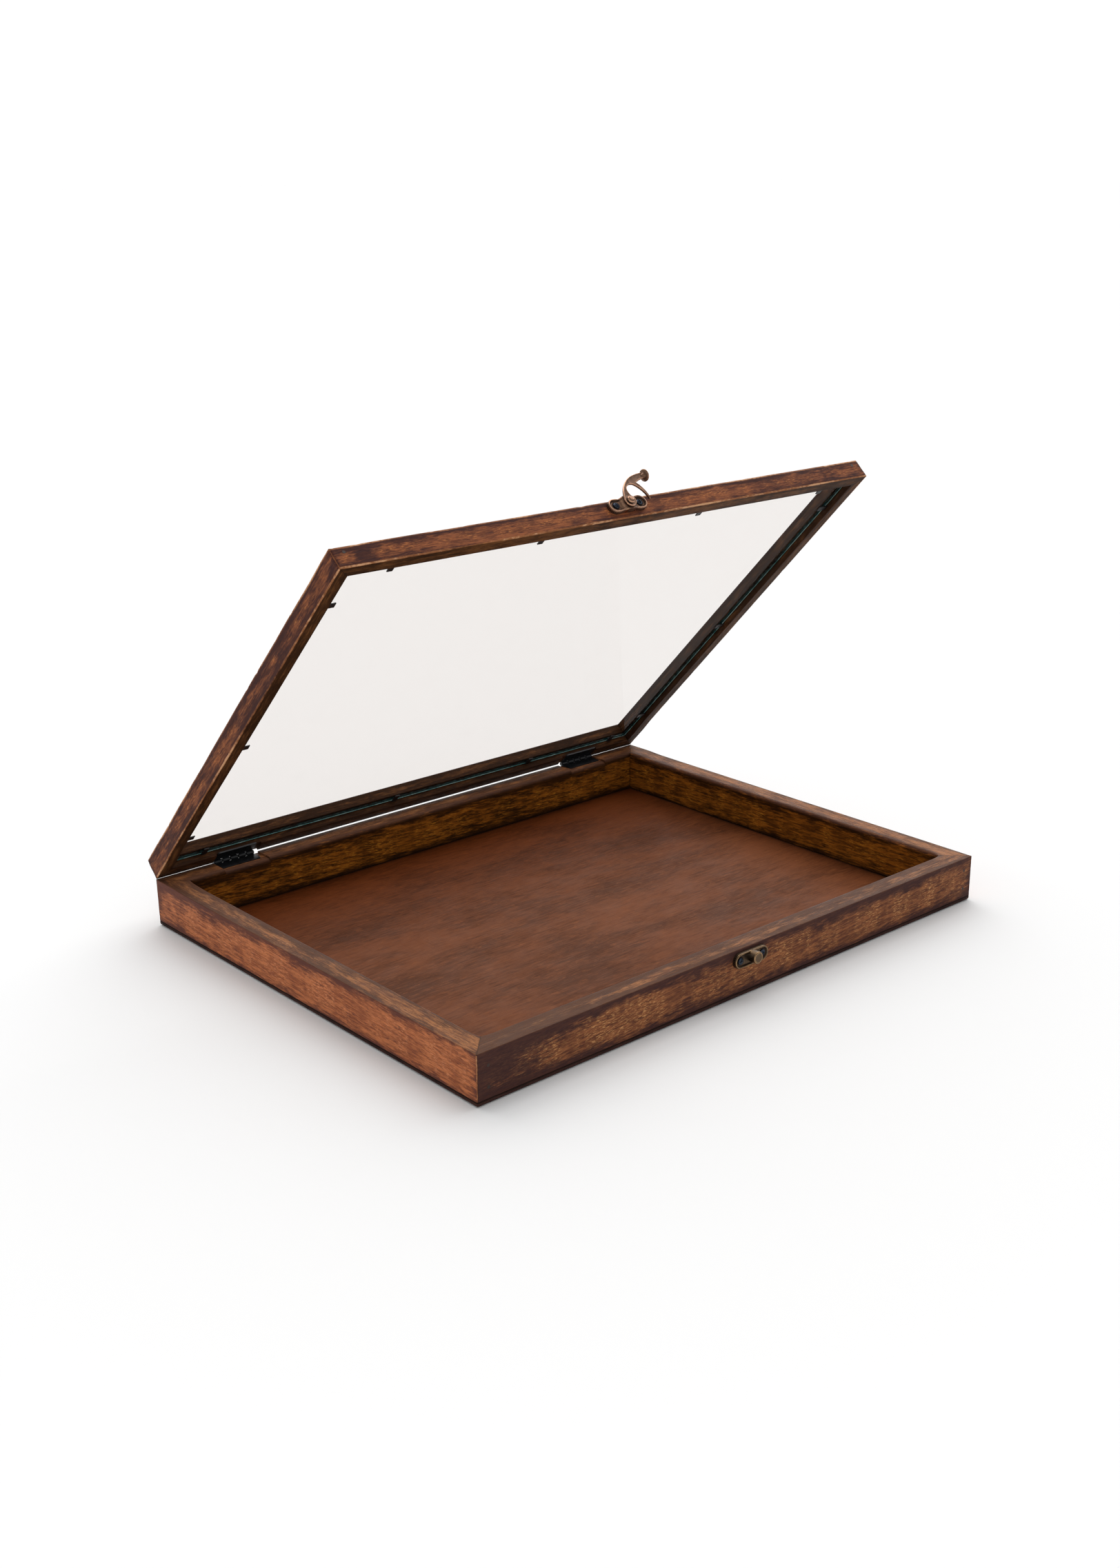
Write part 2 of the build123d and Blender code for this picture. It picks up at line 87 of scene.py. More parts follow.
# ---- shapes ----
SIDES = {"front": 0, "right": 90, "back": 180, "left": 270}
OUTSIDE, RIM, INSIDE, UNDER = (0, 0, 0), (1, 0, 0), (0, 1, 0), (0, 0, 1)
# a shaded_crease corner is an inner corner that gets painted shade
WORN, SOFT, SHADED_CREASE, PLAIN = "worn", "soft", "shaded_crease", "plain"
EDGE_FADE = 0.9 * MM  # how far wear reaches from an edge
# how far the painted crease shade reaches from its corner
CREASE_SHADE_FADE = 1.2 * MM
MITRE_FADE = 0.35 * MM
BORDER_FADE = 5.0 * MM  # how far the dark stain reaches from an edge
ARC_STEPS = 5
WAVER = 0.35  # share by which an edge's rounding wavers along it
SINK = 0.045 * MM  # how far a planed face dips
CHIP_DEPTH = 0.3 * MM
FLAT_STOPS = (0.02, 0.06, 0.12, 0.2, 0.32, 0.5, 0.68, 0.8, 0.88, 0.94, 0.98)
END_ZONE = 20 * MM  # stretch at each end of a rail that leans over to the mitre
END_STOPS = (0, 0.25, 0.6, 1.1, 1.8, 2.8, 4.2, 6, 8.5, 11, 14, 17)


def ripple(seed, *place):
    """Smooth noise from -1 to 1."""
    return noise.noise(Vector((place[0], place[1] if len(place) > 1 else 0.0, seed * 7.31)))


def bell(value, centre, width):
    """1 at the centre, falling away smoothly on both sides."""
    return math.exp(-(((value - centre) / width) ** 2))


def spots_at(spots, s, height):
    """How much darker than its surroundings the stain is at a place on a rail."""
    return sum(
        strength * bell(s / MM, along, wide) * bell(height / MM, up, high)
        for along, up, wide, high, strength in spots
    )


def section(corners):
    """Points round a rail's section, as (inward, height) with what each point is like.

    corners are (inward, height, radius, kind, zone of the flat that follows), going up the
    outer face, in over the top, down the inside and back out underneath.
    """
    rows = []
    count = len(corners)
    for i, (inward, height, radius, kind, zone) in enumerate(corners):
        here = np.array((inward, height))
        before = np.array(corners[i - 1][:2])
        after = np.array(corners[(i + 1) % count][:2])
        back = (before - here) / np.linalg.norm(before - here)
        ahead = (after - here) / np.linalg.norm(after - here)
        centre = here + (back + ahead) * radius
        normal_in, normal_out = np.array((back[1], -back[0])), np.array((-ahead[1], ahead[0]))
        zone_in = np.array(corners[i - 1][4], float)
        for k in range(ARC_STEPS + 1):
            turn = k / ARC_STEPS * math.pi / 2
            c, s = math.cos(turn), math.sin(turn)
            place = centre - (ahead * c + back * s) * radius
            share = k / ARC_STEPS
            rows.append({
                "place": place,
                "normal": normal_in * c + normal_out * s,
                "kinds": {kind: 0.0},
                "corner": i,
                "zone": zone_in * (1 - share) + np.array(zone, float) * share,
            })
        next_radius, next_kind = corners[(i + 1) % count][2:4]
        start, end = here + ahead * radius, after - ahead * next_radius
        run = np.linalg.norm(end - start)
        for t in FLAT_STOPS:
            reach = {next_kind: run * (1 - t)}
            reach[kind] = min(run * t, reach.get(kind, 1.0))
            rows.append({
                "place": start + (end - start) * t,
                "normal": normal_out,
                "kinds": reach,
                "corner": None,
                "zone": np.array(zone, float),
            })
    return rows


def stations(length, extra=()):
    """Places along a rail, closer together towards its ends."""
    half = length / 2
    ends = [half - stop * MM for stop in END_STOPS]
    inner = half - END_ZONE
    middle = list(np.linspace(-inner, inner, int(2 * inner / (2.2 * MM))))
    return sorted([-e for e in ends] + middle + list(extra) + ends)


def steps_at(places):
    """Two stations close together at each place, for an upright step there."""
    gap = 0.03 * MM
    return [p + s * gap for p in places for s in (-1, 1)]


def rail_grid(length, corners_at, corner_radius, seed, spots, rub, extra=()):
    """The points of a mitred rail lying along X, and the layers that say what each is like.

    corners_at(s) gives the section's corners at s along the rail; rub is how worn its edges are.
    """
    points, grain, zones, wear, border = [], [], [], [], []
    for s_nominal in stations(length, extra):
        corners = []
        for i, (inward, height, radius, kind, zone) in enumerate(corners_at(s_nominal)):
            uneven = 1 + WAVER * ripple(seed + i, s_nominal * 45) if kind == WORN else 1
            corners.append((inward, height, radius * uneven, kind, zone))
        side = 1 if s_nominal > 0 else -1
        for row in section(corners):
            inward, height = row["place"]
            i = row["corner"]
            worn = row["kinds"].get(WORN)
            shaded_crease = row["kinds"].get(SHADED_CREASE)
            chip = 0.0
            if i is not None and worn is not None:
                rough = ripple(seed + 3 * i, s_nominal * 260) + 0.5 * ripple(seed + i, s_nominal * 900)
                chip = min(1.0, max(0.0, rough * 2.2 - 0.9))
            sink = SINK * (1 + ripple(seed, s_nominal * 22, (inward + height) * 60))
            sink += CHIP_DEPTH * chip
            inward, height = np.array((inward, height)) - row["normal"] * sink
            radius = corner_radius * (1 + WAVER * ripple(seed + side, height * 240))
            nearest = max(inward, radius * (1 - math.sqrt(0.5)))
            t = length / 2 - abs(s_nominal)
            if t < END_ZONE:
                t = nearest + t * (END_ZONE - nearest) / END_ZONE
            if t < radius and inward >= 0:
                inward = max(inward, radius - math.sqrt(radius**2 - (radius - t) ** 2))
            s = side * (length / 2 - t)
            points.append((s, inward, height))
            grain.append((s + 0.61 * seed, inward, height))
            zones.append(row["zone"])
            edge = math.exp(-worn / EDGE_FADE) if worn is not None else 0.0
            stain = max(math.exp(-r / BORDER_FADE) for r in row["kinds"].values())
            # painted shade, darkest in a shaded crease
            crease_shade_and_joint_grime = math.exp(-shaded_crease / CREASE_SHADE_FADE) if shaded_crease is not None else 0.0
            if not any(row["zone"]):
                edge = max(edge, 1.6 * math.exp(-t / EDGE_FADE))
                stain = max(stain, math.exp(-t / BORDER_FADE))
            else:
                crease_shade_and_joint_grime = max(crease_shade_and_joint_grime, math.exp(-(t - nearest) / MITRE_FADE) * 0.8)
            # wear holds the rubbed edge, the painted crease shade together with the mitre's dark joint
            # line, and chips
            wear.append((edge * rub, crease_shade_and_joint_grime, chip * rub))
            border.append((stain, spots_at(spots, s_nominal, height), 0))
    return points, {"grain": grain, "zone": zones, "wear": wear, "border": border}


def grid_faces(rows, columns):
    """Quads of a tube of rows, each a loop of columns points, with its two ends closed."""
    faces = [
        (r * columns + c, (r + 1) * columns + c, (r + 1) * columns + (c + 1) % columns,
         r * columns + (c + 1) % columns)
        for r in range(rows - 1)
        for c in range(columns)
    ]
    last = (rows - 1) * columns
    return faces + [tuple(range(columns)), tuple(reversed(range(last, last + columns)))]


def new_mesh(name, points, faces, materials, smooth_angle=40, **layers):
    """A mesh object with smooth faces and sharp edges where it turns by more than an angle.

    layers are named lists with a vector for each point, which the paint reads.
    """
    mesh = bpy.data.meshes.new(name)
    mesh.from_pydata([tuple(p) for p in points], [], faces)
    mesh.validate()
    shell = bmesh.new()
    shell.from_mesh(mesh)
    bmesh.ops.recalc_face_normals(shell, faces=shell.faces)
    shell.to_mesh(mesh)
    shell.free()
    for material in materials:
        mesh.materials.append(material)
    mesh.shade_smooth()
    mesh.set_sharp_from_angle(angle=math.radians(smooth_angle))
    for layer_name, values in layers.items():
        layer = mesh.attributes.new(layer_name, "FLOAT_VECTOR", "POINT")
        layer.data.foreach_set("vector", np.array(values, np.float32).ravel())
    piece = bpy.data.objects.new(name, mesh)
    bpy.context.scene.collection.objects.link(piece)
    return piece


def finish_piece(piece, body, slot, *nodes):
    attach(piece, body)
    if nodes:
        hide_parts(*nodes)
    return piece


def turned_to_side(points, side):
    """Points of a rail drawn as (along, inward, height), carried to its side of the frame."""
    face = DEPTH / 2 if side in ("front", "back") else WIDTH / 2
    turn = math.radians(SIDES[side])
    c, s = math.cos(turn), math.sin(turn)
    return [
        (along * c - (inward - face) * s, along * s + (inward - face) * c, height)
        for along, inward, height in points
    ]


def rail_length(side):
    return WIDTH if side in ("front", "back") else DEPTH


def rail_piece(name, side, corners_at, corner_radius, seed, material, extra=()):
    """One mitred rail with softened, worn edges."""
    length = rail_length(side)
    points, layers = rail_grid(
        length, corners_at, corner_radius, seed, SPOTS.get(name, ()), RUBBED[side], extra
    )
    rows = len(stations(length, extra))
    placed = turned_to_side(points, side)
    if name.startswith("lid"):
        placed = swing([rounded_back(p) for p in placed], -OPEN_ANGLE)
    return new_mesh(name, placed, grid_faces(rows, len(points) // rows), [material], **layers)


# ---- rails ----
LEAF_LOW, LEAF_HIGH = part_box("right_hinge_tray_leaf")
POCKET_DEPTH = TRAY_TOP - LEAF_LOW.z
POCKET_PLAY = (1.0 * MM, 3.6 * MM)  # beyond the leaf, outwards and towards the middle
POCKET = (LEAF_LOW.x - POCKET_PLAY[1], LEAF_HIGH.x + POCKET_PLAY[0])


def in_pocket(s):
    return POCKET[0] < abs(s) < POCKET[1]


REVEAL = LID_BOTTOM - TRAY_TOP
PROUD = REVEAL / 2 - 0.01 * MM  # rails meet beyond the hinges
PROUD_BETWEEN = 0.3 * MM  # and nearly meet between them
PIN_OUT = PIN.y - DEPTH / 2
BACK_ROUND = 4.0 * MM  # the lid's upper back edge is rounded like this
RUBBED = {"front": 1.0, "left": 0.96, "back": 0.88, "right": 0.88}  # how worn the edges are
# patches of darker stain on a rail's faces: along, up, half width, half height, how much darker
SPOTS = {
    "tray_front_wall": ((-192, 14, 38, 34, 0.22), (-120, 28, 60, 5, 0.1), (-60, 10, 40, 12, -0.04),
                        (30, 26, 80, 6, 0.07), (150, 12, 40, 14, -0.03), (120, 27, 60, 4, 0.06)),
    "tray_left_wall": ((-140, 22, 50, 12, 0.12), (-70, 27, 40, 5, 0.1), (20, 28, 30, 4, 0.08),
                       (100, 12, 50, 16, -0.05), (-40, 12, 50, 10, -0.04)),
    "lid_front_frame": ((-182, 36, 6, 5, 0.16), (-100, 43, 60, 3, 0.12), (-95, 34, 60, 6, -0.2),
                        (60, 43, 70, 3, 0.1), (60, 35, 60, 6, -0.12), (150, 37, 30, 6, 0.03)),
    "tray_back_wall": ((120, 16, 40, 12, 0.06), (-60, 14, 40, 9, 0.07), (30, 20, 50, 8, -0.05)),
    "tray_right_wall": ((60, 16, 30, 12, 0.06), (-40, 14, 40, 9, -0.05)),
    "lid_left_frame": ((-120, 36, 20, 10, 0.06), (-140, 32, 14, 6, -0.08), (60, 40, 40, 6, 0.05)),
}


def rounded_back(point):
    """A point of the closed lid, drawn in where its upper back edge is rounded over."""
    x, y, z = point
    out, up = y - (DEPTH / 2 - BACK_ROUND), z - (LID_TOP - BACK_ROUND)
    reach = math.hypot(out, up)
    if min(out, up) <= 0 or reach <= BACK_ROUND:
        return point
    keep = BACK_ROUND / reach
    return (x, DEPTH / 2 - BACK_ROUND + out * keep, LID_TOP - BACK_ROUND + up * keep)


def proud(side, s):
    """How far a rail's meeting face stands proud near the back corners of the box."""
    if side == "back":
        return PROUD if abs(s) >= POCKET[1] else PROUD_BETWEEN
    toward_back = {"front": -DEPTH, "left": -s, "right": s}[side]
    run_out = DEPTH / 2 - END_ZONE
    return PROUD * min(1.0, max(0.0, (toward_back - run_out + PROUD_RUN) / PROUD_RUN))


ROUND_OVER = 2.4 * MM  # soft inner top edge of the tray's walls
CUTTER = 7 * MM  # the cutter that rounded it stops this far short of a corner


def round_over(s, length):
    """Radius of the soft inner edge, which runs out into the frame's inner corners."""
    from_end = length / 2 - abs(s)
    from_corner = from_end - WALL
    if from_end < END_ZONE:
        from_corner = from_end * (END_ZONE - WALL) / END_ZONE
    short = max(0.0, 1 - from_corner / CUTTER)
    return ROUND_OVER * (1 - 0.75 * short**2)


BOARD_GAP = 0.02 * MM  # rails stand this far off the board
FOOT = 0.3 * MM  # rounding of a rail's lower edges
CRISP = 0.06 * MM  # rounding of an edge straight from the saw
TRAY_ARRIS, LID_ARRIS = 0.5 * MM, 0.6 * MM  # rounding where the lid meets the tray
TRAY_CORNER, LID_CORNER = 1.0 * MM, 1.8 * MM  # rounding of the upright corners
LID_OUTER, LID_INNER, LID_UNDER = 1.2 * MM, 1.1 * MM, 0.5 * MM
SEAT_INNER, SEAT_OUTER = 0.2 * MM, 0.15 * MM
PROUD_RUN = 12 * MM  # a rail's meeting face rises over this length


def outer_edge(side, s, arris, kind):
    """How far the back rail stands out at a hinge's far side, and its outer meeting edge."""
    if side != "back":
        return 0, arris, kind
    return PIN_OUT if abs(s) >= POCKET[1] else 0, CRISP, PLAIN


def pocket_depth(side, s):
    return POCKET_DEPTH if side == "back" and in_pocket(s) else 0


def tray_corners(side):
    def at(s):
        low, top = PANEL + BOARD_GAP, TRAY_TOP + proud(side, s) - pocket_depth(side, s)
        out, arris, kind = outer_edge(side, s, TRAY_ARRIS, SOFT)
        return [
            (0, low, FOOT, PLAIN, OUTSIDE),
            (-out, top, arris, kind, RIM),
            (WALL, top, round_over(s, rail_length(side)), SOFT, INSIDE),
            # the crease where the wall meets the board gets painted shade
            (WALL, low, FOOT, SHADED_CREASE, UNDER),
        ]
    return at


def lid_corners(side):
    def at(s):
        low = LID_BOTTOM - proud(side, s) + pocket_depth(side, s)
        out, arris, kind = outer_edge(side, s, LID_ARRIS, WORN)
        return [
            (-out, low, arris, kind, OUTSIDE),
            (0, LID_TOP, LID_OUTER, WORN, RIM),
            (LID_RAIL, LID_TOP, LID_INNER, SOFT, INSIDE),
            (LID_RAIL, GLASS_HIGH.z, SEAT_INNER, PLAIN, INSIDE),
            # the inner corner of the glass seat gets painted shade
            (LID_SEAT, GLASS_HIGH.z, SEAT_OUTER, SHADED_CREASE, INSIDE),
            (LID_SEAT, low, LID_UNDER, SOFT, UNDER),
        ]
    return at


# ---- bottom panel and glass ----
SIDE_POINTS = 36
CORNER_POINTS = 5
BOARD_ROUND = 1.8 * MM  # rounding of the board's lower edge
BOARD_CORNER = 1.0 * MM
GLASS_SEAM = 0.7 * MM  # the pane's edges are ground back by this much
GLASS_CORNER = 0.6 * MM
GLASS_SMOOTH = 20  # degrees; sharper turns stay crisp


def rounded_outline(inset, radius):
    """Points round the panel's outline, drawn in by inset, with rounded corners."""
    x, y = WIDTH / 2 - inset, DEPTH / 2 - inset
    r = max(radius - inset, 0.2 * MM)
    centres = [(x - r, -y + r), (x - r, y - r), (-x + r, y - r), (-x + r, -y + r)]
    points = []
    for i, (cx, cy) in enumerate(centres):
        for k in range(CORNER_POINTS):
            turn = math.radians(90 * (i - 1 + k / (CORNER_POINTS - 1)))
            points.append((cx + r * math.cos(turn), cy + r * math.sin(turn)))
        turn = math.radians(90 * i)
        nx, ny = centres[(i + 1) % 4]
        start = points[-1]
        end = (nx + r * math.cos(turn), ny + r * math.sin(turn))
        for k in range(1, SIDE_POINTS):
            t = k / SIDE_POINTS
            points.append((start[0] + (end[0] - start[0]) * t, start[1] + (end[1] - start[1]) * t))
    return points


def bottom_panel(material):
    """The tray's bottom board, with its lower edge rounded over."""
    rings = [(inset * MM, 0, UNDER, 0, 0) for inset in (150, 60, 10)]
    for k in range(7):
        turn = k / 6 * math.pi / 2
        inset = BOARD_ROUND * (1 - math.sin(turn))
        rings.append((inset, BOARD_ROUND * (1 - math.cos(turn)), OUTSIDE, 1, 0))
    # the last value of a ring is painted shade: here along the board's top outer edge, at the foot of
    # the walls
    rings += [(0, PANEL - 0.25 * MM, OUTSIDE, 0.5, 1), (0.25 * MM, PANEL, OUTSIDE, 0.5, 1)]
    # painted shade in the crease at the inner foot of the walls, fading over about 6 mm
    floor_rings = ((-2, 1), (0, 1), (0.4, 1), (0.9, 0.6), (1.6, 0.3), (3, 0.1), (6, 0.05), (12, 0),
                   (22, 0), (36, 0), (55, 0), (80, 0), (105, 0), (128, 0), (136, 0))
    rings += [(WALL + reach * MM, PANEL, INSIDE, 0, crease_shade_and_joint_grime) for reach, crease_shade_and_joint_grime in floor_rings]
    points, zones, wear, border = [], [], [], []
    for inset, height, zone, edge, crease_shade_and_joint_grime in rings:
        for x, y in rounded_outline(inset, BOARD_CORNER):
            points.append((x, y, height))
            zones.append(zone)
            wear.append((edge, crease_shade_and_joint_grime, 0))
            # painted shade on the floor near the walls, fading over about 14 mm
            wall_shade = math.exp(-abs(inset - WALL) / (14 * MM)) if inset >= WALL else edge
            border.append((wall_shade, 0, 0))
    columns = len(rounded_outline(0, BOARD_CORNER))
    return new_mesh("tray_bottom_board", points, grid_faces(len(rings), columns), [material],
                    grain=points, zone=zones, wear=wear, border=border)


def glass_pane(clear, cut_edge, arris):
    """The lid's pane, with its cut edges seamed."""
    inset = WIDTH / 2 - GLASS_HIGH.x
    low, high = GLASS_LOW.z, GLASS_HIGH.z
    seamed, middle = inset + GLASS_SEAM, 120 * MM
    rings = [(middle, low), (seamed, low), (inset, low + GLASS_SEAM), (inset, (low + high) / 2),
             (inset, high - GLASS_SEAM), (seamed, high), (middle, high)]
    points = []
    for reach, height in rings:
        points += [(x, y, height) for x, y in rounded_outline(reach, inset + GLASS_CORNER)]
    columns = len(points) // len(rings)
    placed = swing(points, -OPEN_ANGLE)
    paints = [clear, cut_edge, arris]
    faces = grid_faces(len(rings), columns)
    piece = new_mesh("lid_glass_pane", placed, faces, paints, GLASS_SMOOTH, grain=points)
    for face in piece.data.polygons:
        row = min(face.vertices) // columns
        if row in (1, 2, 3, 4) and len(face.vertices) == 4:
            face.material_index = 2 if row == 1 else 1
    return piece


# ---- paint ----
def linear(red, green, blue):
    """A display colour, 0 to 255, as the linear colour that a shader takes."""
    def one(c):
        c /= 255
        return c / 12.92 if c <= 0.04045 else ((c + 0.055) / 1.055) ** 2.4
    return (one(red), one(green), one(blue), 1)


class Paint:
    """The nodes of a material or a world. A method adds nodes and gives the output socket."""

    def __init__(self, name, owners=bpy.data.materials):
        self.owner = owners.new(name)
        self.owner.use_nodes = True
        self.nodes = self.owner.node_tree.nodes
        self.links = self.owner.node_tree.links
        self.nodes.clear()

    def node(self, kind, inputs, **settings):
        made = self.nodes.new("ShaderNode" + kind)
        for key, value in settings.items():
            setattr(made, key, value)
        for key, value in inputs.items():
            socket = made.inputs[key]
            if isinstance(value, bpy.types.NodeSocket):
                self.links.new(value, socket)
            else:
                socket.default_value = value
        return made

    def attribute(self, name):
        return self.node("Attribute", {}, attribute_name=name).outputs["Vector"]

    def split(self, vector):
        return self.node("SeparateXYZ", {"Vector": vector}).outputs

    def shift(self, vector, by):
        return self.node("VectorMath", {0: vector, 1: by}, operation="ADD").outputs["Vector"]

    def maths(self, operation, a, b):
        return self.node("Math", {0: a, 1: b}, operation=operation).outputs["Value"]

    def times(self, a, b):
        return self.maths("MULTIPLY", a, b)

    def weigh(self, *terms):
        """The sum of value times weight over the terms."""
        total = 0.0
        for value, weight in terms:
            made = self.node("Math", {0: value, 1: weight, 2: total}, operation="MULTIPLY_ADD")
            total = made.outputs["Value"]
        return total

    def noise(self, place, per_metre, by=None, detail=3.0, roughness=0.5, distortion=0.0):
        """Noise with this many ripples per metre along X, Y and Z; by sets it apart from others."""
        made = self.node("VectorMath", {0: place, 1: per_metre}, operation="MULTIPLY")
        vector = made.outputs["Vector"]
        if by:
            vector = self.shift(vector, by)
        inputs = {"Vector": vector, "Scale": 1.0, "Detail": detail, "Roughness": roughness,
                  "Distortion": distortion}
        return self.node("TexNoise", inputs).outputs["Fac"]

    def step(self, value, low, high, to_low=0.0, to_high=1.0):
        """value carried smoothly from low..high to to_low..to_high."""
        inputs = {"Value": value, "From Min": low, "From Max": high, "To Min": to_low,
                  "To Max": to_high}
        return self.node("MapRange", inputs, interpolation_type="SMOOTHSTEP").outputs["Result"]

    def mix(self, share, a, b, blend="MIX"):
        made = self.node("Mix", {0: share, 6: a, 7: b}, data_type="RGBA", blend_type=blend)
        return made.outputs[2]

    def bump(self, height, distance, strength=1.0):
        inputs = {"Height": height, "Distance": distance, "Strength": strength}
        return self.node("Bump", inputs).outputs["Normal"]

    def done(self, shader):
        self.node("OutputMaterial", {"Surface": shader})
        return self.owner

    def solid(self, inputs):
        return self.done(self.node("BsdfPrincipled", inputs).outputs["BSDF"])


def tones(*colours):
    return [linear(*colour) for colour in colours]


def by_zone(p, zones, outside, rim, inside, under):
    """A colour or value for each face of a rail, run into one another at the edges."""
    colour = p.mix(zones[0], outside, rim)
    colour = p.mix(zones[1], colour, inside)
    return p.mix(zones[2], colour, under)


def stained_wood(name, outside, rim, inside, under, slope=0.0, patches=0.0):
    """Stained and rubbed hardwood: fibres along the rail, gold flecks in ribbon-like bands, dark
    stain gathered in clouds and at the edges, and bare wood where the edges are rubbed.

    Each face has four tones: dark, shade, light and fleck. slope leans the grain off the rail.
    """
    p = Paint(name)
    straight = p.attribute("grain")
    lean = p.times(p.split(straight)[0], slope)
    grain = p.shift(straight, p.node("CombineXYZ", {"Z": lean}).outputs["Vector"])
    zones = p.split(p.attribute("zone"))
    edge, crease_shade_and_joint_grime, chip = p.split(p.attribute("wear"))
    border, spot = p.split(p.attribute("border"))[:2]

    fibre = p.noise(grain, (95, 820, 820), detail=6, roughness=0.74)
    strand = p.noise(grain, (22, 330, 330), detail=5, roughness=0.62, distortion=0.3)
    dash = p.noise(grain, (300, 1700, 1700), roughness=0.6)
    pore = p.noise(grain, (170, 1500, 1500), (5, 2, 9))
    band = p.noise(straight, (75, 16, 16), distortion=0.5)
    cloud = p.noise(straight, (15, 42, 42), detail=5, roughness=0.6, distortion=0.4)
    stain = p.noise(grain, (44, 190, 190), (3, 7, 1), detail=6, roughness=0.72)

    dark, shade, light, fleck = (
        by_zone(p, zones, outside[i], rim[i], inside[i], under[i]) for i in range(4)
    )
    tone = p.weigh((fibre, 0.6), (strand, 0.3), (band, 0.1))
    colour = p.mix(p.step(tone, 0.43, 0.57), shade, light)
    flecks = p.times(p.step(dash, 0.52, 0.62), p.step(band, 0.36, 0.62))
    flecks = p.times(flecks, p.step(border, 0.8, 0.2))
    colour = p.mix(p.times(flecks, 0.75), colour, fleck)
    gather = p.weigh((stain, 0.6), (cloud, 0.3), (border, 0.25), (fibre, -0.36), (band, -0.08))
    gather = p.maths("ADD", p.maths("ADD", gather, patches), spot)
    colour = p.mix(p.step(gather, 0.26, 0.46, 0, 0.85), colour, dark)
    dark_pores = p.step(pore, 0.54, 0.7, 0, 0.65)
    colour = p.mix(dark_pores, colour, dark)
    # painted shade in the creases, and the dark line of the mitre joints
    colour = p.mix(p.times(crease_shade_and_joint_grime, 0.8), colour, linear(22, 15, 12))

    speck = p.noise(straight, (420, 900, 900))
    run = p.noise(straight, (26, 40, 40), roughness=0.6)
    rubbed = p.weigh((edge, 0.66), (speck, 0.4), (run, 0.9), (chip, 0.12))
    bare = p.step(rubbed, 1.29, 1.42, 0, 0.8)
    rubbed = p.step(rubbed, 1.05, 1.3, 0, 0.6)
    colour = p.mix(rubbed, colour, linear(172, 112, 72))
    colour = p.mix(bare, colour, linear(210, 162, 122))

    relief = p.weigh((fibre, 0.7), (dark_pores, -0.7), (rubbed, -0.4))
    rough = p.step(p.weigh((stain, 0.6), (fibre, 0.4)), 0.35, 0.7, 0.42, 0.62)
    return p.solid({
        "Base Color": colour,
        "Roughness": rough,
        "Specular IOR Level": 0.04,
        "Normal": p.bump(relief, 0.2 * MM, 0.8),
    })


# painted light: the left and right walls take a lit copy of the front's wood, painted lighter as if the
# light fell from the left; the front and back take the shaded copy
SHADED_FRONT_TONES = tones((58, 39, 40), (98, 59, 42), (146, 92, 60), (212, 154, 98))
LIT_SIDE_TONES = tones((86, 54, 50), (142, 82, 56), (194, 118, 76), (216, 142, 98))
LID_TONES = tones((54, 33, 34), (102, 59, 42), (148, 88, 56), (206, 132, 74))
RIM_TONES = tones((76, 50, 38), (108, 67, 43), (154, 101, 62), (176, 122, 78))
INSIDE_TONES = tones((34, 18, 8), (90, 51, 16), (150, 89, 27), (188, 124, 42))
UNDER_TONES = tones((32, 20, 14), (48, 30, 19), (76, 49, 30), (92, 62, 38))
LID_UNDER_TONES = tones((42, 26, 16), (70, 43, 25), (102, 66, 38), (124, 84, 50))


# the shaded copy, painted darker than the sides
def shaded_front_wood():
    return stained_wood("stained_wood_front_shaded", SHADED_FRONT_TONES, RIM_TONES, INSIDE_TONES, UNDER_TONES,
                        slope=-0.05)


# the lit copy, painted lighter, with its dark stain eased a little
def lit_side_wood():
    return stained_wood("stained_wood_side_lit", LIT_SIDE_TONES, RIM_TONES, INSIDE_TONES, UNDER_TONES,
                        slope=0.03, patches=-0.05)


def lid_wood():
    return stained_wood("stained_wood_lid", LID_TONES, RIM_TONES, LID_UNDER_TONES, LID_UNDER_TONES)


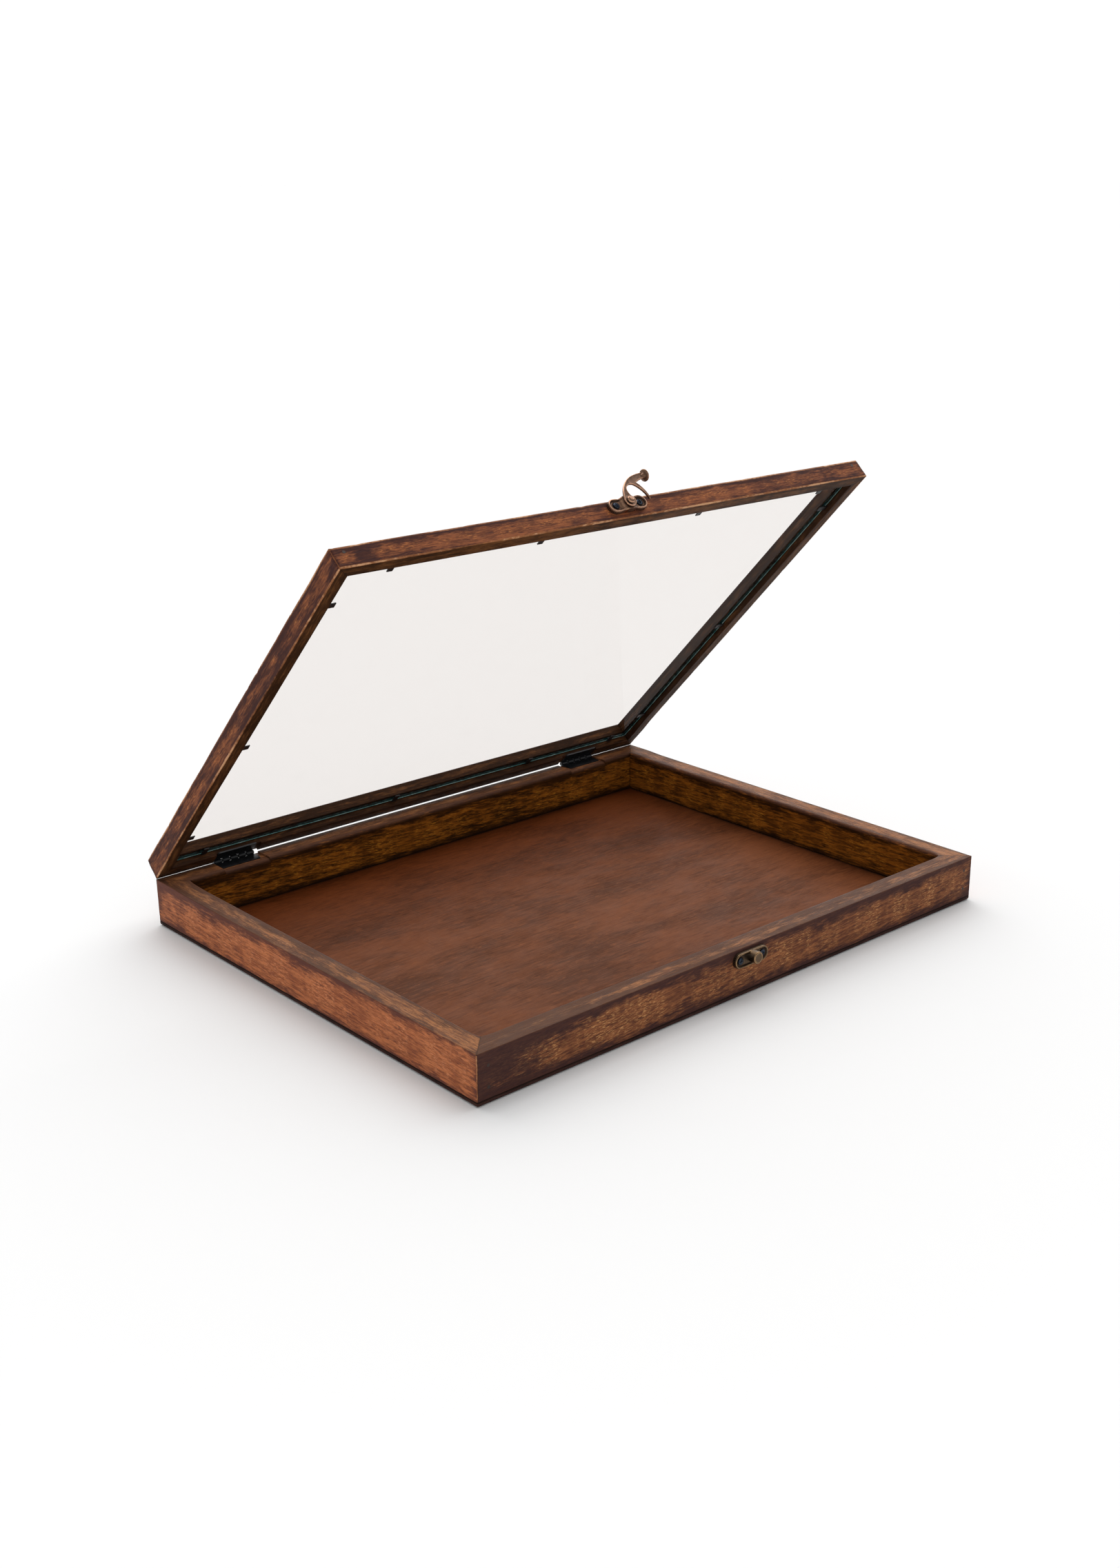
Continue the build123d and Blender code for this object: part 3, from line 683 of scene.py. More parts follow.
def board_wood():
    """The floor board: smooth brown veneer with soft dark clouds drawn out along X."""
    p = Paint("stained_board")
    grain = p.attribute("grain")
    zones = p.split(p.attribute("zone"))
    crease_shade_and_joint_grime = p.split(p.attribute("wear"))[1]
    border = p.split(p.attribute("border"))[0]
    fibre = p.noise(grain, (80, 900, 900), detail=6, roughness=0.74)
    cloud = p.noise(grain, (9, 26, 26), detail=5, roughness=0.62, distortion=0.3)
    smear = p.noise(grain, (48, 80, 80), (4, 1, 0), detail=7, roughness=0.74)
    across = p.noise(grain, (110, 9, 9), distortion=0.2)
    tone = p.weigh((fibre, 0.5), (cloud, 0.5))
    colour = p.mix(p.step(tone, 0.38, 0.6), linear(82, 46, 26), linear(118, 69, 42))
    shade = p.weigh((smear, 0.5), (cloud, -0.3), (across, 0.3), (fibre, -0.15))
    colour = p.mix(p.step(shade, 0.22, 0.36, 0, 0.42), colour, linear(58, 33, 22))
    worn = p.noise(grain, (140, 420, 420), detail=5, roughness=0.75)
    colour = p.mix(p.step(worn, 0.54, 0.68, 0, 0.45), colour, linear(140, 82, 47))
    lines = p.noise(grain, (900, 40, 40), (2, 6, 0), roughness=0.6)
    colour = p.mix(p.step(lines, 0.58, 0.72, 0, 0.25), colour, linear(54, 32, 24))
    # painted shade: the floor darker and more amber towards the back, under the lid, and near the walls
    back = p.step(p.split(grain)[1], -0.03, DEPTH / 2)
    amber_shade = p.maths("MAXIMUM", p.times(border, 0.5), back)
    colour = p.mix(p.times(amber_shade, 0.85), colour,
                   p.mix(1.0, colour, linear(196, 160, 98), "MULTIPLY"))
    outer = p.mix(p.step(p.weigh((smear, 0.6), (fibre, 0.4)), 0.4, 0.6),
                  linear(72, 48, 42), linear(46, 31, 30))
    colour = p.mix(zones[1], outer, colour)
    # painted shade in the creases at the foot of the walls
    colour = p.mix(p.times(crease_shade_and_joint_grime, 0.75), colour, linear(26, 17, 12))
    rough = p.step(smear, 0.3, 0.7, 0.42, 0.58)
    return p.solid({
        "Base Color": colour,
        "Roughness": rough,
        "Specular IOR Level": 0.03,
        "Normal": p.bump(fibre, 0.08 * MM, 0.5),
    })


def clear_glass():
    """Window glass: what is behind it shows through, with a mirror's share at grazing angles and
    a trace of dust."""
    p = Paint("clear_glass")
    grain = p.attribute("grain")
    dust = p.noise(grain, (60, 60, 60), detail=5, roughness=0.7)
    leaving = p.node("NewGeometry", {}).outputs["Backfacing"]
    share = p.node("Fresnel", {"IOR": 1.05}).outputs["Fac"]
    share = p.times(share, p.maths("SUBTRACT", 1.0, leaving))
    through = p.node("BsdfTransparent", {"Color": (0.931, 0.914, 0.902, 1)}).outputs["BSDF"]
    rough = p.step(dust, 0.3, 0.8, 0.01, 0.05)
    mirror = p.node("BsdfGlossy", {"Color": WHITE, "Roughness": rough}).outputs["BSDF"]
    film = p.node("BsdfDiffuse", {"Color": (0.8, 0.8, 0.78, 1)}).outputs["BSDF"]
    pane = p.node("MixShader", {0: share, 1: through, 2: mirror}).outputs["Shader"]
    dusty = p.node("MixShader", {0: p.step(dust, 0.5, 0.9, 0.0, 0.02), 1: pane, 2: film})
    return p.done(dusty.outputs["Shader"])


def glass_edge(name, deep, pale):
    """The green of a cut glass edge, with the fine lines that the cutter leaves."""
    p = Paint(name)
    grain = p.attribute("grain")
    lines = p.noise(grain, (300, 300, 2500))
    run = p.noise(grain, (45, 45, 45), detail=4, roughness=0.7)
    colour = p.mix(p.step(p.weigh((lines, 0.4), (run, 0.6)), 0.38, 0.6), deep, pale)
    return p.solid({
        "Base Color": colour,
        "Roughness": p.step(lines, 0.3, 0.7, 0.12, 0.35),
        "Normal": p.bump(lines, 0.05 * MM, 0.5),
    })


# ---- metal ----
def bronze(name, middle, bright):
    """Antiqued bronze plating: dark brown in the hollows, rubbed to copper and gold on the rims."""
    p = Paint(name)
    grain = p.attribute("grain")
    rim, hollow = p.split(p.attribute("wear"))[:2]
    patch = p.noise(grain, (420, 420, 420), detail=5, roughness=0.65)
    fine = p.noise(grain, (2400, 2400, 2400))
    scratch = p.noise(grain, (500, 3800, 1500), distortion=0.4)
    rubbed = p.weigh((rim, 0.6), (patch, 0.55), (fine, 0.25), (scratch, 0.2), (hollow, -0.34))
    colour = p.mix(p.step(rubbed, 0.2, 0.6), linear(52, 39, 32), middle)
    colour = p.mix(p.step(rubbed, 0.72, 1.2), colour, bright)
    gold = p.times(p.step(patch, 0.5, 0.7), p.step(rubbed, 0.6, 0.9))
    colour = p.mix(p.times(gold, 0.4), colour, linear(158, 126, 82))
    return p.solid({
        "Base Color": colour,
        "Metallic": 1.0,
        "Roughness": p.step(rubbed, 0.2, 1.0, 0.55, 0.24),
        "Normal": p.bump(p.weigh((patch, 0.5), (fine, 0.5)), 0.05 * MM, 0.6),
    })


def dark_metal(name, deep, pale, metallic, rough):
    """Black or blued steel: slightly mottled, with fine scratches."""
    p = Paint(name)
    place = p.node("TexCoord", {}).outputs["Object"]
    patch = p.noise(place, (350, 350, 350), detail=5, roughness=0.65)
    fine = p.noise(place, (2600, 2600, 2600))
    scratch = p.noise(place, (700, 4200, 2100), distortion=0.5)
    tone = p.weigh((patch, 0.5), (fine, 0.3), (scratch, 0.2))
    return p.solid({
        "Base Color": p.mix(p.step(tone, 0.4, 0.62), deep, pale),
        "Metallic": metallic,
        "Roughness": p.step(tone, 0.35, 0.65, rough - 0.1, rough + 0.12),
        "Normal": p.bump(p.weigh((fine, 0.6), (scratch, 0.4)), 0.03 * MM, 0.6),
    })


# ---- latch and catch ----
LATCH_LOW, LATCH_HIGH = closed_box("latch_plate")
LATCH_SCREWS = closed_box("latch_screws")
CATCH_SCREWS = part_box("catch_screws")
CATCH_LOW, CATCH_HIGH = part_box("catch_plate")
LATCH_MIDDLE = (LATCH_SCREWS[0] + LATCH_SCREWS[1]) / 2
CATCH_MIDDLE = (CATCH_SCREWS[0] + CATCH_SCREWS[1]) / 2
SCREW_HEAD = (LATCH_SCREWS[1].z - LATCH_SCREWS[0].z) / 2
SCREW_SPAN = (LATCH_SCREWS[1].x - LATCH_SCREWS[0].x) / 2 - SCREW_HEAD
SCREW_DEPTH = LATCH_SCREWS[1].y + DEPTH / 2
PLATE_HALF = (LATCH_HIGH.z - LATCH_LOW.z) / 2
BOSS_TOP = -DEPTH / 2 - LATCH_LOW.y
STUD_TOP = -DEPTH / 2 - CATCH_LOW.y
HEAD_SEAT = 1.6 * MM  # height of the seats under the screws' heads
HOOK_BACK = BOSS_TOP + 0.1 * MM
HOOK_FRONT = HOOK_BACK + 1.5 * MM
STUD_OFF = (0.2 * MM, 1.0 * MM)  # the stud's place from the catch plate's middle
END_COUNT, SIDE_COUNT = 72, 44
METAL_SMOOTH = 35  # degrees; sharper turns stay crisp


def smooth(value, low, high):
    t = min(1.0, max(0.0, (value - low) / (high - low)))
    return t * t * (3 - 2 * t)


def on_front(points, on_lid):
    """Points drawn as (across, up, out), carried to the front about the latch or the catch."""
    middle = LATCH_MIDDLE if on_lid else CATCH_MIDDLE
    placed = [(middle.x + u, -DEPTH / 2 - h, middle.z + v) for u, v, h in points]
    return swing(placed, -OPEN_ANGLE) if on_lid else placed


def welded(points, faces, values):
    """Points that meet made into one, with the faces that lie between fewer corners."""
    new_index, kept, kept_values, seen = [], [], [], {}
    for point, value in zip(points, values):
        key = tuple(round(c / (0.001 * MM)) for c in point)
        if key not in seen:
            seen[key] = len(kept)
            kept.append(point)
            kept_values.append(value)
        new_index.append(seen[key])
    new_faces = []
    for face in faces:
        corners = list(dict.fromkeys(new_index[i] for i in face))
        if len(corners) > 2:
            new_faces.append(tuple(corners))
    return kept, new_faces, kept_values


def metal_piece(name, shape, on_lid, material):
    """A piece of the latch or catch, drawn flat and then carried to the front face."""
    points, faces, wear = welded(*shape)
    return new_mesh(name, on_front(points, on_lid), faces, [material], METAL_SMOOTH,
                    grain=points, wear=wear)


def oblong(length):
    """Stations round a plate with round ends: the centre each stands off, its way out, and how
    far along an end it lies, or None on the straight sides."""
    straight = length / 2 - PLATE_HALF
    around = []
    for turn, sign in ((0, 1), (180, -1)):
        for k in range(END_COUNT):
            a = math.radians(turn - 90 + 180 * k / END_COUNT)
            around.append(((sign * straight, 0), (math.cos(a), math.sin(a)), 180 * k / END_COUNT))
        for k in range(SIDE_COUNT):
            across = sign * straight * (1 - 2 * k / SIDE_COUNT)
            around.append(((across, 0), (0, sign), None))
    return around


def plate_shape(length, boss):
    """A cast plate: beaded foot, raised rim, hollow middle, seats for two screws, and a smooth
    hill in the middle when boss gives its height."""
    rim = [(0, 0.02), (0, 0.5), (0, 0.9), (0, 1.3), (0, 1.7), (0.05, 2.1), (0.2, 2.42), (0.4, 2.56),
           (0.6, 2.6), (0.8, 2.55), (1.0, 2.38), (1.2, 2.12), (1.4, 1.92), (1.7, 1.8), (2.0, 1.75)]
    rim += [(2.0 + 0.25 * k, 1.75) for k in range(1, 10)] + [(PLATE_HALF / MM, 1.75)]
    around = oblong(length)
    points, wear = [], []
    for inset_mm, height_mm in rim:
        for centre, out, turn in around:
            inset, height = inset_mm * MM, height_mm * MM
            bead = 0.0
            if turn is not None and height_mm < 1.6:
                bead = 0.5 + 0.5 * math.cos(math.radians(turn * 26))
                swell = smooth(height_mm, 0.3, 0.7) * (1 - smooth(height_mm, 1.1, 1.6))
                inset += 0.28 * MM * bead * swell
            waist = 0.0
            if turn is None and boss:
                waist = 0.5 * MM * bell(abs(centre[0]), 5.2 * MM, 1.8 * MM)
            reach = max(0.0, PLATE_HALF - inset - waist * (1 - inset / PLATE_HALF))
            u, v = centre[0] + out[0] * reach, centre[1] + out[1] * reach
            crest = bell(inset_mm, 0.5, 0.4) if height_mm > 2 else 0.0
            hollow = bell(inset_mm, 1.4, 0.4) if inset_mm > 0 else bead * 0.8
            from_screw = math.hypot(abs(u) - SCREW_SPAN, v)
            if inset_mm > 1:
                shown = smooth(from_screw, 2.1 * MM, 2.6 * MM)
                height = min(height, HEAD_SEAT + (height - HEAD_SEAT) * shown)
                hollow = max(hollow, 1 - smooth(from_screw, 2.0 * MM, 3.0 * MM))
            if boss:
                from_boss = math.hypot(u, 0.62 * v)
                hill = 1 - smooth(from_boss, 2.9 * MM, 6.0 * MM)
                height += (boss - height) * hill * smooth(height_mm, 0.02, 1.8)
                crest = max(crest * (1 - hill), 0.75 * bell(from_boss / MM, 4.4, 0.8))
            points.append((u, v, height))
            wear.append((crest, hollow, 0))
    faces = grid_faces(len(rim), len(around))
    return points, faces[:-1], wear


def ring(radius, count):
    turns = [2 * math.pi * k / count for k in range(count)]
    return [(radius * math.cos(a), radius * math.sin(a)) for a in turns]


def turned(profile, count=48):
    """A turned shape: profile rows are (radius, height, rim wear, hollow), from the top down."""
    points, wear = [], []
    for radius, height, rim, hollow in profile:
        points += [(u * MM, v * MM, height * MM) for u, v in ring(radius, count)]
        wear += [(rim, hollow, 0)] * count
    return points, grid_faces(len(profile), count), wear


def screw_shape():
    """A domed cross-head wood screw, with its head's foot at height 0."""
    count = 72
    head = SCREW_HEAD / MM
    rows = [(0.02 + k * (head - 0.12) / 18, 0) for k in range(19)]
    rows += [(head - 0.02, -0.16), (head, -0.4), (head - 0.05, -0.78)]
    shank, pitch, crown = 1.1, 0.45, 0.88
    turns = int(SCREW_DEPTH / MM / pitch) - 3
    points, wear = [], []
    for radius, down in rows:
        for u, v in ring(radius, count):
            dome = crown - 0.42 * (radius / head) ** 2.4 if not down else crown - 0.1 + down
            slot = max(
                (1 - smooth(abs(v), 0.2, 0.34)) * (1 - smooth(abs(u), 1.15, 1.3)),
                (1 - smooth(abs(u), 0.2, 0.34)) * (1 - smooth(abs(v), 1.15, 1.3)),
            )
            points.append((u * MM, v * MM, max(0.02, dome - 0.5 * slot * (not down)) * MM))
            wear.append((1 - slot, slot, 0))
    for i in range(turns):
        taper = 1 - 0.75 * smooth(i, turns - 6, turns)
        for radius, step in ((shank, 0.0), (shank * 0.78, 0.5)):
            down = -(i + step) * pitch * MM
            points += [(u * MM, v * MM, down) for u, v in ring(radius * taper, count)]
            wear += [(0.5, 0.5, 0)] * count
    return points, grid_faces(len(points) // count, count), wear


def joined(*shapes):
    """Several (points, faces, wear) shapes made into one."""
    points, faces, wear = [], [], []
    for some_points, some_faces, some_wear in shapes:
        faces += [tuple(i + len(points) for i in face) for face in some_faces]
        points += some_points
        wear += some_wear
    return points, faces, wear


def moved(shape, across=0.0, up=0.0, out=0.0):
    points, faces, wear = shape
    return [(u + across, v + up, h + out) for u, v, h in points], faces, wear


def arc(start, through, end, count):
    """Points on the circle through three places, without the last."""
    (ax, ay), (bx, by), (cx, cy) = start, through, end
    d = 2 * (ax * (by - cy) + bx * (cy - ay) + cx * (ay - by))
    aa, bb, cc = ax * ax + ay * ay, bx * bx + by * by, cx * cx + cy * cy
    x = (aa * (by - cy) + bb * (cy - ay) + cc * (ay - by)) / d
    y = (aa * (cx - bx) + bb * (ax - cx) + cc * (bx - ax)) / d
    radius = math.hypot(ax - x, ay - y)
    first, last = (math.atan2(v - y, u - x) for u, v in (start, end))
    sweep = (last - first) % (2 * math.pi)
    clockwise = (bx - ax) * (cy - ay) - (by - ay) * (cx - ax) < 0
    if clockwise:
        sweep -= 2 * math.pi
    turns = [first + sweep * k / count for k in range(count)]
    return [(x + radius * math.cos(a), y + radius * math.sin(a)) for a in turns]


def curve(places, count):
    """A smooth curve through places, without the last."""
    padded = [places[0], *places, places[-1]]
    points = []
    for i in range(1, len(padded) - 2):
        p0, p1, p2, p3 = (np.array(q) for q in padded[i - 1:i + 3])
        for k in range(count):
            t = k / count
            points.append(tuple(0.5 * (2 * p1 + (p2 - p0) * t + (2 * p0 - 5 * p1 + 4 * p2 - p3) * t**2
                                       + (3 * p1 - p0 - 3 * p2 + p3) * t**3)))
    return points


def polar(radius, degrees):
    return (radius * math.cos(math.radians(degrees)), radius * math.sin(math.radians(degrees)))


# the hook, in millimetres from its pivot
EYE = 3.9  # radius of the eye round the pivot
HOLE, HOLE_COUNT = 1.6, 32  # radius of the hole for the rivet, and the points round it
REACH = 14.6  # radius of the tine
KNOB_AT = (21.3, 15.0)


def hook_outline():
    """The hook about its pivot: crescent, neck and curved tine, going round counterclockwise."""
    root_out, root_in = polar(REACH + 1.3, 43), polar(REACH - 1.3, 50)
    tip_out, tip_in = polar(REACH + 0.35, -2), polar(REACH - 0.45, -3)
    start, shoulder = (-3.3, 2.1), (9.4, 15.4)
    neck_top, neck_low = (20.6, 16.9), (20.9, 13.2)
    joint = (2.3, 3.1)
    outline = arc(start, (0.8, 9.3), shoulder, 40)
    outline += arc(shoulder, (14.8, 16.6), neck_top, 20)
    outline += [neck_top]
    outline += arc(neck_low, (16.3, 12.6), root_out, 14)
    outline += arc(root_out, polar(REACH + 0.9, 22), tip_out, 30)
    outline += arc(tip_out, polar(REACH, -4.2), tip_in, 6)
    outline += arc(tip_in, polar(REACH - 0.9, 22), root_in, 30)
    outline += curve([root_in, (5.6, 10.2), (2.6, 8.2), (1.9, 5.6), joint], 9)
    outline += arc(joint, (0.4, -EYE), start, 44)
    return outline[::-1]


def swelling(outline, profile):
    """An outline carried through a profile of (inset, height, rim, hollow), drawn in less where
    the shape is narrow, and left open at both ends."""
    shape = np.array(outline)
    ahead = np.roll(shape, -1, 0) - np.roll(shape, 1, 0)
    inward = np.column_stack((-ahead[:, 1], ahead[:, 0]))
    inward /= np.linalg.norm(inward, axis=1)[:, None]
    sides = np.roll(shape, -1, 0) - shape
    points, wear = [], []
    widths = []
    for i, place in enumerate(shape):
        gap = shape - place
        cross = inward[i][0] * sides[:, 1] - inward[i][1] * sides[:, 0]
        cross = np.where(abs(cross) < 1e-9, 1e-9, cross)
        along = (gap[:, 0] * sides[:, 1] - gap[:, 1] * sides[:, 0]) / cross
        share = (gap[:, 0] * inward[i][1] - gap[:, 1] * inward[i][0]) / cross
        hits = along[(share >= 0) & (share <= 1) & (along > 0.05)]
        widths.append(min(hits, default=9.0))
    most = max(0.1, max(row[0] for row in profile))
    for inset, height, rim, hollow in profile:
        for place, way, width in zip(shape, inward, widths):
            drawn_in = inset * min(1.0, 0.42 * width / most)
            u, v = place + way * drawn_in
            points.append((u * MM, v * MM, height))
            wear.append((rim, hollow, 0))
    return points, wear


def filled(points, loops):
    """Triangles between an outline and a hole in it, as corner numbers."""
    shell = bmesh.new()
    numbered = {}
    edges = []
    for loop in loops:
        corners = [shell.verts.new(points[i]) for i in loop]
        numbered.update(zip(corners, loop))
        edges += [shell.edges.new((corners[k - 1], corners[k])) for k in range(len(corners))]
    made = bmesh.ops.triangle_fill(shell, use_beauty=True, edges=edges)["geom"]
    faces = [
        tuple(numbered[v] for v in face.verts) for face in made if isinstance(face, bmesh.types.BMFace)
    ]
    shell.free()
    return faces


def tube(start, rows, columns):
    return [tuple(i + start for i in face) for face in grid_faces(rows, columns)[:-2]]


def hook_shape():
    """The swinging hook with its eye, knob and tine."""
    low, high = HOOK_BACK + 0.02 * MM, HOOK_FRONT
    outline = hook_outline()
    profile = [(0.45, low, 0.2, 0.4), (0.2, low + 0.1 * MM, 0.4, 0.2), (0.0, low + 0.4 * MM, 0.5, 0.2),
               (0.0, high - 0.55 * MM, 0.6, 0), (0.08, high - 0.25 * MM, 0.9, 0),
               (0.22, high - 0.06 * MM, 1.0, 0), (0.4, high, 0.7, 0), (0.6, high - 0.05 * MM, 0.1, 0.3),
               (0.8, high - 0.1 * MM, 0.0, 0.25)]
    points, wear = swelling(outline, profile)
    columns, start = len(outline), len(points)
    faces = tube(0, len(profile), columns)
    for height, rim in ((low, 0.2), (high - 0.1 * MM, 0.5)):
        points += [(u * MM, v * MM, height) for u, v in ring(HOLE, HOLE_COUNT)]
        wear += [(rim, 1 - rim, 0)] * HOLE_COUNT
    faces += tube(start, 2, HOLE_COUNT)
    above = start + HOLE_COUNT
    faces += filled(points, (range(columns), range(start, above)))
    faces += filled(points, (range(start - columns, start), range(above, above + HOLE_COUNT)))
    return points, faces, wear


def knob_shape():
    """The hook's thumb knob, like a nail's head set across the end of the neck."""
    profile = [(0.02, 0.74, 0.3, 0.2), (1.2, 0.72, 0.35, 0.1), (2.2, 0.62, 0.5, 0), (2.9, 0.45, 0.8, 0),
               (3.35, 0.22, 1.0, 0), (3.58, 0.0, 1.0, 0), (3.62, -0.2, 0.8, 0), (3.5, -0.42, 0.7, 0),
               (3.1, -0.62, 0.4, 0.1), (2.5, -0.78, 0.2, 0.4), (2.0, -1.05, 0.2, 0.5),
               (1.6, -1.5, 0.3, 0.3), (1.3, -2.2, 0.3, 0.2), (0.9, -3.2, 0.3, 0.2),
               (0.02, -3.3, 0.3, 0.2)]
    points, faces, wear = turned(profile)
    middle = (HOOK_BACK + HOOK_FRONT) / 2
    lean = math.radians(5)
    c, s = math.cos(lean), math.sin(lean)
    placed = [
        (KNOB_AT[0] * MM + along * c - up * s, KNOB_AT[1] * MM + along * s + up * c, middle + across)
        for across, up, along in points
    ]
    return placed, faces, wear


def rivet_shape():
    """The hook's pivot: a low domed head with a turned line, on its shank."""
    foot = (HOOK_FRONT + 0.1 * MM) / MM
    profile = [(0.02, 1.24, 0.6, 0), (0.7, 1.25, 0.6, 0), (1.3, 1.2, 0.7, 0), (1.5, 1.1, 0.2, 0.8),
               (1.62, 1.1, 0.2, 0.8), (1.8, 1.08, 0.8, 0), (2.1, 0.85, 1.0, 0), (2.3, 0.5, 0.8, 0),
               (2.38, 0.2, 0.5, 0.3), (2.3, 0.02, 0.1, 0.9), (1.5, 0.0, 0, 1), (1.5, 0.1 - foot, 0, 1),
               (0.02, 0.1 - foot, 0, 1)]
    return turned([(r, h + foot, rim, hollow) for r, h, rim, hollow in profile])


STUD, HALF_SLOT, DISC_HEIGHT = 3.5, 2.0, 1.4  # the stud's radius, slot and disc, in millimetres


def stud_shape():
    """The catch stud: two walls with a slot between them for the tine, under a round disc."""
    side = math.degrees(math.asin(HALF_SLOT / STUD))
    cheek = [polar(STUD, side + (180 - 2 * side) * k / 20) for k in range(21)]
    disc_low = STUD_TOP / MM - DISC_HEIGHT
    profile = [(0.0, 1.5 * MM, 0.1, 0.9), (0.0, 2.4 * MM, 0.4, 0.2),
               (0.0, (disc_low + 0.1) * MM, 0.5, 0.3)]
    shapes = []
    for sign in (-1, 1):
        outline = cheek if sign > 0 else [(-u, -v) for u, v in cheek]
        points, wear = swelling(outline, profile)
        shapes.append((points, grid_faces(3, len(outline)), wear))
    disc = [(0.02, 1.24, 0.3, 0.2), (1.6, 1.24, 0.3, 0.2), (2.3, 1.25, 0.4, 0.2), (2.7, 1.34, 0.8, 0),
            (3.05, 1.38, 1.0, 0), (3.35, 1.26, 1.0, 0), (3.55, 1.0, 0.8, 0), (3.6, 0.7, 0.6, 0),
            (3.55, 0.3, 0.5, 0.1), (3.3, 0.05, 0.3, 0.5), (0.02, 0.0, 0, 1)]
    shapes.append(turned([(r, disc_low + h, rim, hollow) for r, h, rim, hollow in disc]))
    return moved(joined(*shapes), *STUD_OFF)


def screw_pair():
    return joined(*(moved(screw_shape(), sign * SCREW_SPAN, 0, HEAD_SEAT) for sign in (-1, 1)))


def paint_nodes(material, *names):
    """Gives CAD parts that are kept as they are a material of their own."""
    for name in names:
        node = frame["nodes"][name]
        for slot in node.material_slots:
            slot.material = material


def build_hardware():
    metal = bronze("antique_bronze", linear(118, 90, 73), linear(200, 154, 126))
    dull = bronze("dull_bronze", linear(92, 75, 58), linear(146, 116, 84))
    blued = dark_metal("blued_steel", linear(18, 22, 30), linear(56, 66, 82), 0.7, 0.34)
    latch = plate_shape(LATCH_HIGH.x - LATCH_LOW.x, BOSS_TOP)
    catch = plate_shape(CATCH_HIGH.x - CATCH_LOW.x, 0)
    hook = joined(hook_shape(), knob_shape())
    pieces = (
        ("latch_cast_plate", latch, metal, "lid", "antique_bronze", ["latch_plate"]),
        ("catch_cast_plate", catch, dull, "tray", "antique_bronze", ["catch_plate"]),
        ("catch_stud", stud_shape(), dull, "tray", "antique_bronze", []),
        ("latch_rivet_head", rivet_shape(), metal, "lid", "antique_bronze", ["latch_rivet"]),
        ("swing_hook", hook, metal, "hook", "antique_bronze", ["latch_hook"]),
        ("latch_cross_screws", screw_pair(), blued, "lid", "blued_screws", ["latch_screws"]),
        ("catch_cross_screws", screw_pair(), blued, "tray", "blued_screws", ["catch_screws"]),
    )
    for name, shape, material, body, slot, replaced in pieces:
        piece = metal_piece(name, shape, body != "tray", material)
        finish_piece(piece, body, slot, *replaced)
    black = dark_metal("japanned_black", linear(9, 10, 12), linear(30, 33, 38), 0.2, 0.38)
    strip = dark_metal("black_strip", linear(7, 7, 8), linear(24, 25, 27), 0.3, 0.45)
    nail = dark_metal("stained_nail", linear(34, 22, 16), linear(58, 38, 27), 0.3, 0.5)
    for hand in ("left", "right"):
        parts = ("tray_leaf", "lid_leaf", "pin", "tray_screws", "lid_screws")
        paint_nodes(black, *(f"{hand}_hinge_{part}" for part in parts))
    paint_nodes(strip, *(f"glazing_points_{side}" for side in SIDES))
    paint_nodes(nail, "tray_corner_pins", "bottom_panel_pins", "lid_corner_pins")


# ---- studio ----
SKY_LOW, SKY_HIGH = 0.74, 0.44  # brightness of the room at eye level and overhead
SEEN = 1.05  # brightness of the backdrop as the camera sees it
WHITE = (1, 1, 1, 1)
SUN_STRENGTH = 3.0
SUN_SIZE = 90  # degrees across, for soft shadows
SUN_WAY = (-0.7, -0.75, -1.0)
FLOOR_REACH = 30
FLOOR_COLOUR = (0.85, 0.85, 0.85, 1)


def room():
    """An even white room, a little dimmer overhead; seen directly, it is plain white."""
    p = Paint("room", bpy.data.worlds)
    rise = p.split(p.node("TexCoord", {}).outputs["Generated"])["Z"]
    strength = p.node("MapRange", {"To Min": SKY_LOW, "To Max": SKY_HIGH, "Value": rise})
    lighting = p.node("Background", {"Strength": strength.outputs["Result"], "Color": WHITE})
    seen = p.node("Background", {"Strength": SEEN, "Color": WHITE})
    chosen = p.node("MixShader", {
        0: p.node("LightPath", {}).outputs["Is Camera Ray"],
        1: lighting.outputs["Background"],
        2: seen.outputs["Background"],
    })
    p.node("OutputWorld", {"Surface": chosen.outputs["Shader"]})
    bpy.context.scene.world = p.owner


def soft_sun():
    """A wide soft lamp, high behind the box on the right."""
    lamp = bpy.data.lights.new("soft_sun", "SUN")
    lamp.energy = SUN_STRENGTH
    lamp.angle = math.radians(SUN_SIZE)
    sun = bpy.data.objects.new("soft_sun", lamp)
    sun.rotation_mode = "QUATERNION"
    sun.rotation_quaternion = Vector(SUN_WAY).to_track_quat("-Z", "Y")
    bpy.context.scene.collection.objects.link(sun)


def studio():
    bpy.context.scene.view_settings.view_transform = "Standard"
    room()
    soft_sun()
    corners = [(x * FLOOR_REACH, y * FLOOR_REACH, 0) for x, y in ((-1, -1), (1, -1), (1, 1), (-1, 1))]
    floor = new_mesh("studio_floor", corners, [(0, 1, 2, 3)], [floor_paint()])


def floor_paint():
    p = Paint("studio_floor")
    return p.solid({"Base Color": FLOOR_COLOUR, "Roughness": 0.9, "Specular IOR Level": 0.0})


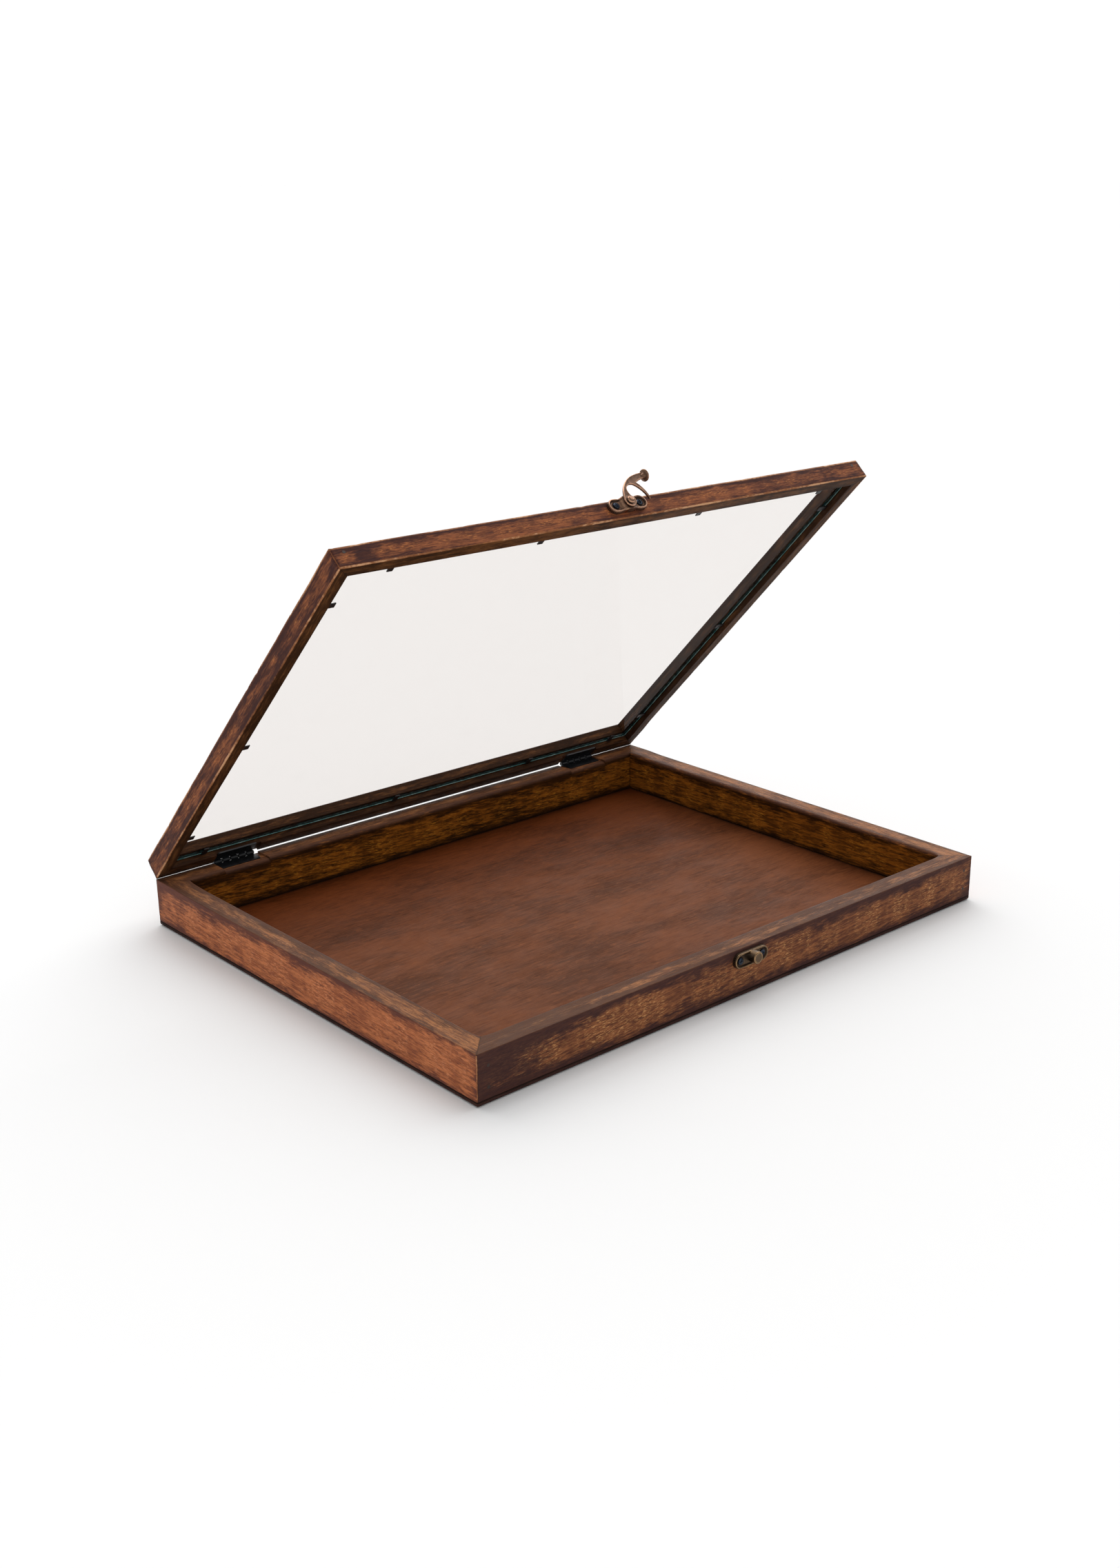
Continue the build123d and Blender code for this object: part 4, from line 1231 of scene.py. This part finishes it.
# ---- camera ----
CAMERA_AIM = Vector((-0.0342, -0.0303, 0.1))
CAMERA_DISTANCE = 1.0609
CAMERA_ANGLES = (41.393, 18.952, -0.383)  # azimuth, elevation and roll, in degrees
CAMERA_LENS = 41.795  # on a sensor 36 wide


def camera():
    a, e, roll = (math.radians(x) for x in CAMERA_ANGLES)
    ahead = Vector((math.sin(a) * math.cos(e), math.cos(a) * math.cos(e), -math.sin(e)))
    level = Vector((math.cos(a), -math.sin(a), 0))
    up = level.cross(ahead)
    right = level * math.cos(roll) + up * math.sin(roll)
    up = up * math.cos(roll) - level * math.sin(roll)
    data = bpy.data.cameras.new("camera")
    data.lens = CAMERA_LENS
    data.sensor_width = 36
    taken = bpy.data.objects.new("camera", data)
    basis = Matrix((right, up, -ahead)).transposed().to_4x4()
    taken.matrix_world = Matrix.Translation(CAMERA_AIM - ahead * CAMERA_DISTANCE) @ basis
    bpy.context.scene.collection.objects.link(taken)
    bpy.context.scene.camera = taken


def build_wood():
    # the left and right walls get the painted-light copy of the wood, the front and back the
    # painted-shade copy
    woods = {"front": shaded_front_wood(), "left": lit_side_wood()}
    woods["back"], woods["right"] = woods["front"], woods["left"]
    lid = lid_wood()
    for seed, side in enumerate(SIDES, 1):
        extra = []
        if side == "back":
            extra = steps_at([s * edge for s in (-1, 1) for edge in POCKET])
        tray = rail_piece(f"tray_{side}_wall", side, tray_corners(side), TRAY_CORNER, seed,
                          woods[side], extra)
        finish_piece(tray, "tray", "tray_wood", f"tray_{side}_rail")
        rail = rail_piece(f"lid_{side}_frame", side, lid_corners(side), LID_CORNER, seed + 10, lid,
                          extra)
        finish_piece(rail, "lid", "lid_wood", f"lid_{side}_rail")
    finish_piece(bottom_panel(board_wood()), "tray", "floor_board", "tray_bottom_panel")
    cut_edge = glass_edge("glass_cut_edge", linear(8, 22, 22), linear(20, 58, 58))
    # the arris is painted pale, bright teal: a painted glow for light gathered in the glass edge
    arris = glass_edge("glass_arris_painted_glow", linear(84, 170, 168), linear(214, 252, 248))
    finish_piece(glass_pane(clear_glass(), cut_edge, arris), "lid", "clear_glass", "lid_glass")


def main():
    camera()
    studio()
    build_wood()
    build_hardware()


main()
